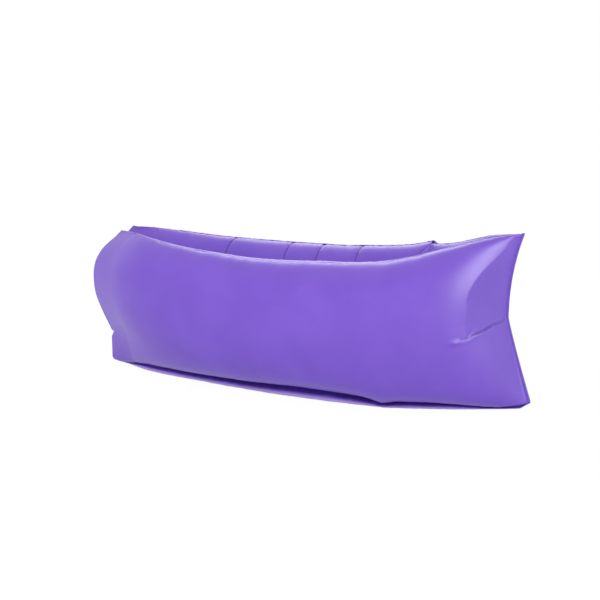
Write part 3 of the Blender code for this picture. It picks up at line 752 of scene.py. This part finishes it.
def low_chord(station, share, side):
    """Nearly straight run to the fin, below the crease."""
    start = outer_points(CHORD_START + 0 * station, share, side)
    before = outer_points(CHORD_START - CHORD_STEP + 0 * station, share, side)
    end = outer_points(CHORD_END + 0 * station, share, side)
    span = CHORD_END - CHORD_START
    leave = (start - before) * (span / CHORD_STEP)
    t = clamp((station - CHORD_START) / span)[..., None]
    return start * (1 - t * t) + leave * (t - t * t) + end * t * t


def seam_shares(count):
    """Shares from 0 to 1, closer together at both seams."""
    return (1 - np.cos(np.pi * np.arange(count + 1) / count)) / 2


def skin_stations(count):
    base = np.linspace(-1, 1, count + 1)
    return np.unique(np.concatenate([base, [-FIN_STATION, FIN_STATION, WRAP_STATION], GORE_SEAMS]))


def puckers(along, away, kind, seed):
    height, wave, reach = kind
    return height * MM * folds(along, wave * MM, seed) * np.exp(-away / (reach * MM))


def calm_ends(station):
    return ease((1 - np.abs(station)) / CALM_SHARE)


def outer_skin(name, side, seed):
    shares = seam_shares(OUTER_COLUMNS)
    station, share = crossed(skin_stations(OUTER_ROWS), shares)
    points = end_facet(outer_skin_points(station, share, side), station, share, side)
    normal = grid_normals(points) * -side
    up = lengths(points, ACROSS)
    down = up[:, -1:] - up
    points = points + normal * end_crease(station, share, up)[..., None]
    along = station * HALF_LENGTH
    rise = puckers(along, down, TOP_PUCKERS, seed)
    rise += puckers(along + TOP_FOLD_SLANT * down, down, TOP_FOLDS, seed + 1)
    rise += puckers(along, up, FOOT_PUCKERS, seed + 2)
    rise += SWELL_HEIGHT * folds(along, SWELL_LENGTH, seed + 3) * folds(up, SWELL_RISE, seed + 4)
    points = points + normal * (rise * calm_ends(station))[..., None]
    # Painted highlight along the front chamber's top seam, painted shade along the rear one's
    rim = mix(0.1, 0.8, window(station, *BRIGHT_RIM_SPAN))
    painted = RIM_PAINTED_LIGHT[side] * rim * np.exp(-down / RIM_PAINTED_LIGHT_REACH)
    # Painted shade a little below the top seam
    painted -= RIM_SHADE * bell(down - RIM_SHADE_DROP, RIM_SHADE_WIDTH)
    # Painted shade in the closed end's crease
    painted -= CREASE_SHADE * crease_line(station, share, up)
    # Painted highlight along the closed end's fold
    painted += FOLD_HIGHLIGHT * fold_line(station, share)
    # Painted shade in the recess at the foot, deeper where the foot stands higher
    tucked = clamp(along_length(FOOT_LINE, station) / FOOT_TUCK) ** 2
    painted -= FOOT_SHADE * tucked * np.exp(-up / FOOT_SHADE_REACH)
    return grid_piece(name, points, TAFFETA, flip=side == REAR, painted_light=painted), points, normal


def seam_station(mark, share):
    """Where a gore's seam runs: it may lean close to the top seam."""
    low, top = SEAM_MOVES.get(mark, (0, 0))
    lean = ease((share - SEAM_BEND) / (1 - SEAM_BEND))
    return mark + mix(low, top, lean) * MM / HALF_LENGTH


def fold_line(station, share):
    """1 along the closed end's fold, and 0 away from it."""
    before = read_table(FOLD_LINE, share) - station
    above = window(share, *FOLD_HIGHLIGHT_SHARES)
    return above * ease(before / FOLD_EDGE) * bell(before, mix(*FOLD_WIDTHS, above))


def crease_offset(station, share, up):
    """Distance above the closed end's crease."""
    return (share - read_table(CREASE_LINE, station)) * up[:, -1:]


def crease_line(station, share, up):
    """1 along the closed end's crease, and 0 away from it."""
    off = crease_offset(station, share, up)
    return window(station, CREASE_SHADED, CREASE_END) * bell(off, CREASE_WIDTH)


def end_crease(station, share, up):
    """Pinched crease of the closed end, and the bump where it dies out."""
    off = crease_offset(station, share, up)
    groove = -CREASE_DEPTH * bell(off, CREASE_WIDTH)
    swell = CREASE_SWELL * bell(off + SWELL_DROP, SWELL_DROP)
    left = (station - BUMP_STATION) * HALF_LENGTH / BUMP_HALF_LENGTH
    bump = BUMP_HEIGHT * np.exp(-left ** 2 - ((off + BUMP_DROP) / BUMP_HALF_HEIGHT) ** 2)
    return (groove + swell) * window(station, CREASE_SUNK, CREASE_END) + bump


def gore_skin(name, side, start, end, seed):
    count = max(int((end - start) * GORE_DENSITY), GORE_FEWEST_ROWS)
    close = np.array(GORE_EDGE_ROWS) * MM / HALF_LENGTH
    rows = np.concatenate([np.linspace(start, end, count + 1), start + close, end - close])
    station, share = crossed(np.unique(rows), seam_shares(GORE_COLUMNS))
    first, last = seam_station(start, share), seam_station(end, share)
    station = first + (station - start) / (end - start) * (last - first)
    points = inner_skin_points(station, share, side)
    normal = grid_normals(points) * side
    up = lengths(points, ACROSS)
    down = up[:, -1:] - up
    left = (station - first) * HALF_LENGTH
    right = (last - station) * HALF_LENGTH
    near = np.minimum(np.where(start > -1, left, 1), np.where(end < 1, right, 1))
    hollow = -SEAM_HOLLOW * np.exp(-near / HOLLOW_REACH)
    rise = puckers(station * HALF_LENGTH, down, GORE_TOP_PUCKERS, seed)
    rise += puckers(up, near, SEAM_PUCKERS, seed + 1)
    above = ease((share - PILLOWED[0]) / PILLOWED[1])
    points = points + normal * ((hollow + rise) * calm_ends(station) * above)[..., None]
    # Painted shade under the top seam, and painted shade lines along the gore seams
    painted = -VALLEY_RIM_SHADE * bell(down, VALLEY_RIM_WIDTH)
    painted -= SEAM_SHADE * bell(near, SEAM_SHADE_WIDTH)
    return grid_piece(name, points, TAFFETA, flip=side == FRONT, painted_light=painted), points, normal


def base_skin():
    lip = np.linspace(1, 2, LIP_COLUMNS)
    floor = np.linspace(-1, 1, FLOOR_COLUMNS)[1:-1]
    columns = np.concatenate([np.linspace(-2, -1, LIP_COLUMNS), floor, lip])
    station, across = crossed(skin_stations(BASE_ROWS), columns)
    points = base_skin_points(station, across)
    lip = clamp(np.abs(across) - 1)
    rise = waves(station * HALF_LENGTH, BASE_WAVES, 40) * np.sin(math.pi * lip)
    points = points - grid_normals(points) * (rise * fullness(station))[..., None]
    # Painted highlight near the lip's floor edge, painted shade inside the recess
    return grid_piece("base_skin", points, TAFFETA, flip=True, painted_light=read_table(LIP_PAINTED_LIGHT, lip))


def ridge_welt(name, side, seed):
    """Raised seam allowance along a chamber's top seam."""
    stations = np.linspace(-1.0, FIN_STATION, 760)
    station, turn = crossed(stations, np.linspace(0, 2 * math.pi, 17))
    along = station * HALF_LENGTH
    top = np.ones_like(stations)
    outside = outer_skin_points(stations, top, side)
    inside = inner_skin_points(stations, top, side)
    middle = mix(outside, inside, 0.5)[:, None, :]
    wide = mix(*RIDGE_WIDTHS, fullness(station)) + waves(along, RIDGE_WAVES, seed + 1)
    wide = wide + RIM_WIDENING * window(station, *BRIGHT_RIM_SPAN) * (side == FRONT)
    lift = RIDGE_LIFT * wide * np.sin(turn) + waves(along, RIDGE_LIFTS, seed)
    points = middle + stacked(0 * wide, side * wide * np.cos(turn), lift)
    # Painted highlight on the front welt, painted shade on the rear one
    painted = RIM_PAINTED_LIGHT[side] * mix(0.55, 1.0, window(station, *BRIGHT_RIM_SPAN))
    return grid_piece(name, points, TAFFETA, flip=side == REAR, painted_light=painted)


def bladder(name, side):
    """Air liner, a little smaller than its skins."""
    stations = np.linspace(-LINER_END, LINER_END, 81)
    station, share = crossed(stations, seam_shares(24))
    outer_shares, inner_shares = LINER_SHARES
    outside = outer_points(station, mix(*outer_shares, share), side, 0.0)
    inside = inner_points(station, mix(*inner_shares, share[:, ::-1]), side, LINER_INSET)
    points = np.concatenate([outside, inside, outside[:, :1]], axis=1)
    centre = points.mean(axis=1, keepdims=True)
    reach = np.linalg.norm(points - centre, axis=-1, keepdims=True)
    shrink = np.maximum(1 - LINER_INSET / np.maximum(reach, LINER_INSET), LINER_LEAST)
    return grid_piece(name, centre + (points - centre) * shrink, FILM, flip=side == REAR)


def roll_skin():
    """The mouth's sheets rolled up, from the front skin's end inwards."""
    wound = np.linspace(0, 1, ROLL_TURNS * ROLL_STEPS + 1)
    share, wound = crossed(np.linspace(0, 1, ROLL_ROWS), wound)
    turn = mix(contact_angle(share) / (2 * math.pi), ROLL_TURNS, wound)
    first, last = ROLL_END_TURNS
    low = mix(SKIN_LOW, ROLL_LOW, ease((turn - first) / (last - first)))
    height = mix(low, ROLL_TOP, share)
    radius = roll_radius(height)
    radius = mix(radius, np.minimum(ROLL_CORE_RADIUS, radius - ROLL_CORE_ROOM), wound)
    wave = folds(height + 0.02 * turn, 22 * MM, 90) * folds(turn, 0.3, 91)
    radius = radius + ROLL_WAVE * wave * ease(wound / 0.05)
    points = on_roll(height, 2 * math.pi * turn, radius)
    return grid_piece("rolled_mouth", points, TAFFETA, flip=True)


# Thread

STITCH_RINGS = ((0.0, 0.3, -0.9), (0.2, 1.0, 0.2), (0.8, 1.0, 0.2), (1.0, 0.3, -0.9))
STITCH_SIDES = 6
STITCH_PITCH = 4.4 * MM
DASH = 3.2 * MM
THREAD_RADIUS = 0.4 * MM
STITCHED_REACH = 0.84
RIDGE_STITCH_DROP = 7 * MM
GORE_STITCH_ROW = 5
GORE_STITCH_START = 8


def read_along(values, place, at):
    return np.stack([np.interp(at, place, column) for column in values.T], axis=-1)


def facing(line, way):
    """A line, and the direction its stitches face."""
    return line, np.zeros_like(line) + way


def stitch_rings(points, normals):
    """Rings of a row of sunken dashes along a line."""
    place = lengths(points, ALONG)
    starts = np.arange(STITCH_PITCH / 2, place[-1] - DASH, STITCH_PITCH)
    ends = read_along(points, place, starts + DASH)
    ahead = unit(ends - read_along(points, place, starts))
    up = unit(read_along(normals, place, starts + DASH / 2))
    aside = unit(np.cross(ahead, up))
    angle = np.arange(STITCH_SIDES) * 2 * math.pi / STITCH_SIDES
    rings = []
    for share, girth, lift in STITCH_RINGS:
        centre = read_along(points, place, starts + share * DASH)
        rise = (lift + girth * np.sin(angle))[None, :, None] * up[:, None, :]
        reach = (girth * np.cos(angle))[None, :, None] * aside[:, None, :]
        rings.append(centre[:, None, :] + THREAD_RADIUS * (rise + reach))
    return np.stack(rings, axis=1)


def stitches(name, lines, finish, body=BODY):
    """One mesh of all the thread dashes along several lines."""
    rings = np.concatenate([stitch_rings(points, normals) for points, normals in lines])
    count, levels, sides = rings.shape[:3]
    number = np.arange(count * levels * sides).reshape(count, levels, sides)
    after = np.roll(number, -1, axis=2)
    corners = (number[:, :-1], number[:, 1:], after[:, 1:], after[:, :-1])
    faces = np.stack(corners, axis=-1).reshape(-1, 4)
    row = mesh_piece(name, rings, faces, finish)
    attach(row, body)


def line_below_top(points, normals, drop):
    """Line on a skin a little below its top seam."""
    up = lengths(points, ACROSS)
    rows = [row for row in range(len(points)) if abs(points[row, -1, 0]) < STITCHED_REACH]
    place = [up[row, -1] - drop for row in rows]
    line = np.array([read_along(points[row], up[row], at) for row, at in zip(rows, place)])
    lift = np.array([read_along(normals[row], up[row], at) for row, at in zip(rows, place)])
    return line, lift


# Body pieces


def stand_in(piece, node):
    """Show a piece on the body in place of a packed one."""
    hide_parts(node)
    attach(piece, BODY)


def sew_on(piece, node, points):
    """Put a skin in place."""
    stand_in(piece, node)


def grid_of(piece, rows):
    flat = np.empty(len(piece.data.vertices) * 3)
    piece.data.vertices.foreach_get("co", flat)
    return flat.reshape(rows, -1, 3)


def dress_side(word, side, seed):
    skin, points, normals = outer_skin(f"{word}_outer_skin", side, seed)
    sew_on(skin, f"{word}_outer_panel", points)
    top_row = line_below_top(points, normals, RIDGE_STITCH_DROP)
    stitches(f"{word}_ridge_stitches", [top_row], THREAD)
    rows = []
    marks = [-1] + GORE_SEAMS + [1]
    for number, (start, end) in enumerate(zip(marks, marks[1:]), 1):
        place = (start, end, seed + 40 + number)
        gore, points, normals = gore_skin(f"{word}_gore_{number}", side, *place)
        sew_on(gore, f"{word}_inner_panel_{number}", points)
        if number > 1:
            stitched = (GORE_STITCH_ROW, slice(GORE_COLUMNS // 2 + GORE_STITCH_START, None))
            rows.append((points[stitched], normals[stitched]))
    stitches(f"{word}_gore_stitches", rows, THREAD)
    welt = ridge_welt(f"{word}_ridge_welt", side, seed + 49)
    stand_in(welt, f"{word}_ridge_tape")
    liner = bladder(f"{word}_bladder", side)
    stand_in(liner, f"{word}_liner")


def dress_body():
    dress_side("front", FRONT, 10)
    dress_side("rear", REAR, 20)
    base = base_skin()
    sew_on(base, "base_panel", grid_of(base, len(skin_stations(BASE_ROWS))))
    roll = roll_skin()
    sew_on(roll, "mouth_roll", grid_of(roll, ROLL_ROWS))


dress_body()


# Tapes

BINDING_LEG = 9 * MM
BINDING_NOSE = 3 * MM
TAPE_THICK = 0.9 * MM
BINDING_FOOT = 26 * MM
BINDING_STITCHED = 3 * MM
WELT_HEIGHT = 9 * MM
WELT_END = 0.7
WELT_ROOM = 0.65 * MM
BINDING_ROOM = 0.1 * MM
BINDING_WAVES = ((0.25, 9),)
WELT_FOLD_SHARE = 0.125
WELT_SWAYS = ((1.3, 40), (0.5, 14))
WELT_SWAY_POWER = 1.5
WELT_MIDDLE = 16
WELT_STITCHED = 10


def binding_profile(turn, half, nose):
    """U of the folded tape, with the fold in the middle third."""
    angle = np.clip(turn * 1.5, -0.5, 0.5) * math.pi
    ahead = nose * np.cos(angle) - clamp(np.abs(turn) * 1.5 - 0.5) * BINDING_LEG
    return np.array([ahead, half * np.sin(angle)])


def end_binding():
    """Folded tape over the raw edges of the closed end."""
    turn = np.linspace(-1, 1, 49)
    outside = OUTER_SET_OUT + TAPE_THICK
    outer = binding_profile(turn, outside, BINDING_NOSE)
    nose = BINDING_NOSE - TAPE_THICK
    inner = binding_profile(turn[::-1], OUTER_SET_OUT + BINDING_ROOM, nose)
    ahead, aside = np.concatenate([outer, inner, outer[:, :1]], axis=1)
    height = np.linspace(BINDING_FOOT, CLOSED_HEIGHT, 260)[:, None]
    ahead = ahead[None, :] + waves(height, BINDING_WAVES, 60) * (ahead < 0)
    points = placed(1 + ahead / HALF_LENGTH, 0.0, height, REAR, 0.0)
    points[..., 1] += aside[None, :]
    tape = grid_piece("end_binding_tape", points, BINDING, flip=True)
    stand_in(tape, "end_binding")
    station = 1 - (BINDING_LEG - BINDING_STITCHED) / HALF_LENGTH
    lines = [facing(placed(station, 0.0, height[:, 0], side, outside), (0, side, 0))
             for side in (FRONT, REAR)]
    stitches("end_binding_stitches", lines, THREAD)


def valley_welt():
    """Folded welt at the bottom of the valley."""
    stations = np.linspace(-WELT_END, WELT_END, 520)
    opening = clamp(1 - WELT_ROOM / ridge_offset(stations))
    share = mix(SPLIT_SHARE, 1, np.sqrt(1 - opening ** 2))
    low = floor_lift(stations) + PANEL_THICK + GAP
    foot = mix(low, ridge_height(stations, REAR), share)
    turn = np.linspace(-1, 1, 2 * WELT_MIDDLE + 1)
    angle = np.clip(turn / WELT_FOLD_SHARE / 2, -0.5, 0.5) * math.pi
    fallen = clamp((np.abs(turn) - WELT_FOLD_SHARE) / (1 - WELT_FOLD_SHARE))
    rise = WELT_HEIGHT - fallen * WELT_HEIGHT - TAPE_THICK / 2 * (1 - np.cos(angle))
    sway = waves(stations[:, None] * HALF_LENGTH, WELT_SWAYS, 61)
    sway = sway * clamp(rise / WELT_HEIGHT)[None, :] ** WELT_SWAY_POWER
    points = placed(stations[:, None], 0.0, foot[:, None] + rise[None, :], REAR, 0.0)
    points[..., 1] += (TAPE_THICK / 2 * np.sin(angle))[None, :] + sway
    stand_in(grid_piece("valley_welt", points, BINDING), "centre_seam_tape")
    lines = [facing(points[:, WELT_MIDDLE + way * WELT_STITCHED], (0, way, 0)) for way in (-1, 1)]
    stitches("valley_welt_stitches", lines, THREAD)


end_binding()
valley_welt()


# Closing strap: webbing from each end of the roll, looped round the buckle's bars

STRAP_LEVEL = np.array([BEND_Y, -BEND_X, 0.0])
STRAP_OUTWARD = np.array([BEND_X, BEND_Y, 0.0])
STRAP_LEAN = 165
STRAP_ASIDE = 22
STRAP_SHIFT = STRAP_OUTWARD * STRAP_LEAN * MM - STRAP_LEVEL * STRAP_ASIDE * MM
STRAP_FOOT = np.array([-MOUTH_REACH, 0.0, 0.0]) + STRAP_SHIFT
BAND_WIDTH = 20 * MM
BAND_THICK = 1.4 * MM
BAR_SIZE = 4 * MM
LOOP_REACH = math.hypot(BAR_SIZE, BAR_SIZE) / 2 + GAP + BAND_THICK / 2
SOCKET_LOW = 345 * MM
SOCKET_LENGTH = 30 * MM
SLOT_HEIGHT = 4.6 * MM
FIT_GAP = 0.4 * MM
PLUG_BASE = 16 * MM
UPPER_BAR = SOCKET_LOW + SOCKET_LENGTH + SLOT_HEIGHT + BAR_SIZE / 2
LOWER_BAR = SOCKET_LOW - FIT_GAP - PLUG_BASE + BAR_SIZE / 2
STRAIGHT = 60 * MM
TURN_SHARES = ((0.25, 0.0), (0.42, 0.33), (0.42, 0.85), (0.15, 1.3))
UPPER_END = 592 * MM
LOWER_END = 45 * MM
SEWN_LENGTH = 40 * MM
TAIL_LENGTH = 30 * MM
TAIL_LOOSE = 3 * MM
BOX_NEAR = 17 * MM
BOX_FAR = 28 * MM
BOX_HALF_WIDTH = 7.5 * MM
TAIL_APART = 1.07
BOX_LIFT = 0.55
BAND_POWER = 0.35
BAND_EDGE = 0.8
EDGE_THICKER = 0.15


def core_point(height):
    return roll_frame(np.float64(height))[0]


def strap_point(outward, height):
    return STRAP_FOOT + STRAP_OUTWARD * outward + np.array([0.0, 0.0, height])


def strap_path(end_height, way, bar):
    """Middle line of a webbing, and how many points come before the bar."""
    slope = mouth_slope(end_height)
    tangent = unit(np.array([BEND_X * slope, BEND_Y * slope, 1.0]))
    across = np.cross(tangent, STRAP_LEVEL)
    swoop = [core_point(end_height - way * SEWN_LENGTH / part) for part in (1, 2)]
    end = core_point(end_height)
    swoop += [end] + [end + (tangent * way * out + across * over) * ROLL_RADIUS
                      for out, over in TURN_SHARES]
    swoop += [strap_point(LOOP_REACH, bar + way * STRAIGHT), strap_point(LOOP_REACH, bar)]
    main = smooth_through(swoop, np.linspace(0, len(swoop) - 1, 180))
    loop = [strap_point(LOOP_REACH * math.cos(angle), bar - way * LOOP_REACH * math.sin(angle))
            for angle in np.linspace(0, math.pi, 20)[1:]]
    back = np.linspace(0, TAIL_LENGTH, 40)[1:]
    apart = way * BAND_THICK * TAIL_APART * strap_normals(main)[-1]
    sewn = along_strap(main, back) + apart
    loose = np.array([strap_point(-LOOP_REACH, bar + way * step) for step in back])
    tail = mix(loose, sewn, ease((back - TAIL_LOOSE) / (BOX_NEAR - TAIL_LOOSE))[:, None])
    return np.concatenate([main, loop, tail]), len(main)


def along_strap(main, back):
    """Points of a middle line at distances back from the bar."""
    reach = np.linalg.norm(main - main[-1], axis=-1)
    near = reach < 2 * TAIL_LENGTH
    return read_along(main[near][::-1], reach[near][::-1], back)


def strap_normals(path):
    return unit(np.cross(unit(np.gradient(path, axis=0)), STRAP_LEVEL))


def webbing_points(path):
    """Woven band with slightly thicker edges, round a middle line."""
    turn = np.linspace(0, 2 * math.pi, 49)
    wide = squared(np.cos(turn), BAND_POWER)
    thick = squared(np.sin(turn), BAND_POWER)
    thick = thick * (1 + EDGE_THICKER * (np.abs(wide) > BAND_EDGE))
    aside = wide[None, :, None] * STRAP_LEVEL * BAND_WIDTH / 2
    rise = thick[None, :, None] * strap_normals(path)[:, None, :] * BAND_THICK / 2
    return path[:, None, :] + aside + rise


def box_stitches(name, path, count, way, body):
    """Sewn box with a cross that holds the webbing's tail to it."""
    lift = -way * strap_normals(path)[count - 2] * BAND_THICK * BOX_LIFT
    near, far, half = BOX_NEAR, BOX_FAR, BOX_HALF_WIDTH
    corners = ((-half, near), (half, near), (half, far), (-half, far))
    lines = []
    for first, last in ((0, 1), (1, 2), (2, 3), (3, 0), (0, 2), (1, 3)):
        share = np.linspace(0, 1, 12)[:, None]
        across, from_bar = mix(np.array(corners[first]), np.array(corners[last]), share).T
        line = along_strap(path[:count], from_bar) + lift + across[:, None] * STRAP_LEVEL
        lines.append(facing(line, STRAP_OUTWARD))
    stitches(name, lines, DARK_THREAD, body)


def closing_strap():
    for word, end, way, bar, body in (("upper", UPPER_END, 1, UPPER_BAR, BODY),
                                      ("lower", LOWER_END, -1, LOWER_BAR, PLUG)):
        path, count = strap_path(end, way, bar)
        band = grid_piece(f"{word}_strap", webbing_points(path), WEBBING, flip=way < 0)
        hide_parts(f"{word}_webbing")
        box_stitches(f"{word}_strap_stitches", path, count, way, body)
        if body == BODY:
            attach(band, BODY)
        else:
            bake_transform(band)


closing_strap()


# Stiffeners: a plastic strip along each lip of the mouth, in the middle of the roll

BATTEN_LOW = 47 * MM
BATTEN_HIGH = 588 * MM
BATTEN_REACH = 9.7 * MM
BATTEN_THICK = 1 * MM
BATTEN_APART = 1.5 * MM
BATTEN_POWER = 0.3


def stiffener(word, side):
    height = np.linspace(BATTEN_LOW, BATTEN_HIGH, 200)
    centre, forward, onward, axis = roll_frame(height)
    across = np.cross(axis, STRAP_LEVEL)
    turn = np.linspace(0, 2 * math.pi, 33)
    wide = squared(np.cos(turn), BATTEN_POWER)
    thick = np.sin(turn) * BATTEN_THICK / 2
    near = np.minimum(height - BATTEN_LOW, BATTEN_HIGH - height)
    width = BATTEN_REACH * np.sqrt(1 - clamp(1 - near / BATTEN_REACH) ** 2)
    middle = centre + side * BATTEN_APART * across
    aside = wide[None, :, None] * width[:, None, None] * STRAP_LEVEL
    points = middle[:, None, :] + aside + thick[None, :, None] * across[:, None, :]
    strip = grid_piece(f"{word}_batten", points, BATTEN)
    stand_in(strip, f"{word}_stiffener")


stiffener("front", FRONT)
stiffener("rear", REAR)


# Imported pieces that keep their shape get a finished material

for name in ("buckle_socket", "buckle_plug", "buckle_prong_left", "buckle_prong_right"):
    finishes = frame["nodes"][name].data.materials
    finishes.clear()
    finishes.append(BUCKLE)


# Studio

FLOOR_SIZE = 30.0
FLOOR_HEIGHT = -0.5 * MM


def backdrop_material():
    """White floor with a faint trace of the shadow."""
    finish, tree, shader = new_material("studio_white", (0.85, 0.85, 0.85), 0.9)
    shader.inputs["Specular IOR Level"].default_value = 0.0
    glow = add_node(tree, "Emission", {"Strength": 1.03}).outputs[0]
    values = {0: seen_directly(tree), 1: 0.94}
    share = add_node(tree, "Math", values, operation="MULTIPLY").outputs[0]
    blend = add_node(tree, "MixShader", {0: share, 1: shader.outputs[0], 2: glow})
    tree.links.new(blend.outputs[0], tree.nodes["Material Output"].inputs["Surface"])
    return finish


def seen_directly(tree):
    """1 for rays from the camera, mirrored or not."""
    path = add_node(tree, "LightPath").outputs
    seen = path["Is Camera Ray"]
    for name in ("Is Glossy Ray", "Is Transmission Ray"):
        values = {0: seen, 1: path[name]}
        seen = add_node(tree, "Math", values, operation="MAXIMUM").outputs[0]
    return seen


def studio():
    ways = ((-1, -1), (1, -1), (1, 1), (-1, 1))
    corners = np.array([(x * FLOOR_SIZE, y * FLOOR_SIZE, FLOOR_HEIGHT) for x, y in ways])
    floor = mesh_piece("floor", corners, np.array([(0, 1, 2, 3)]), backdrop_material())


def world():
    scene_world = bpy.data.worlds.new("studio")
    scene_world.use_nodes = True
    bpy.context.scene.world = scene_world
    tree = scene_world.node_tree
    tree.nodes.clear()
    soft = add_node(tree, "Background", {"Color": (1.0, 1.0, 0.99, 1), "Strength": 0.80})
    seen = add_node(tree, "Background", {"Color": (1, 1, 1, 1), "Strength": 1.0})
    values = {0: seen_directly(tree), 1: soft.outputs[0], 2: seen.outputs[0]}
    blend = add_node(tree, "MixShader", values)
    add_node(tree, "OutputWorld", {"Surface": blend.outputs[0]})


def area_light(name, place, target, size, power, glossy=True, diffuse=True):
    data = bpy.data.lights.new(name, "AREA")
    data.shape = "RECTANGLE"
    data.size, data.size_y = size
    data.energy = power
    lamp = add_object(name, data)
    lamp.location = place
    way = Vector(target) - Vector(place)
    lamp.rotation_euler = way.to_track_quat("-Z", "Y").to_euler()
    lamp.visible_camera = False
    lamp.visible_glossy = glossy
    lamp.visible_diffuse = diffuse


def camera():
    data = bpy.data.cameras.new("photo_view")
    data.lens = 60.0
    data.sensor_width = 36.0
    item = add_object("photo_view", data)
    item.location = (1.523, -3.737, 1.044)
    item.rotation_euler = (math.radians(90 - 9.683), 0, math.radians(22))
    bpy.context.scene.camera = item


studio()
world()
area_light("front_fill", (-0.4, -4.6, 0.7), (0, 0, 0.3), (5.0, 1.2), 24, glossy=False)
area_light("high_front", (-0.3, -3.4, 3.0), (0, 0.1, 0.45), (3.2, 1.0), 42, glossy=False)
area_light("right_fill", (4.2, -1.5, 0.9), (0, 0, 0.3), (2.0, 1.6), 26, glossy=False)
area_light("behind", (-0.6, 3.0, 2.2), (0, 0, 0.4), (3.0, 0.9), 40)
area_light("right_gloss", (4.0, -0.95, 1.75), (0.75, -0.15, 0.5), (2.6, 2.6), 165, diffuse=False)
camera()
bpy.context.scene.view_settings.view_transform = "Standard"
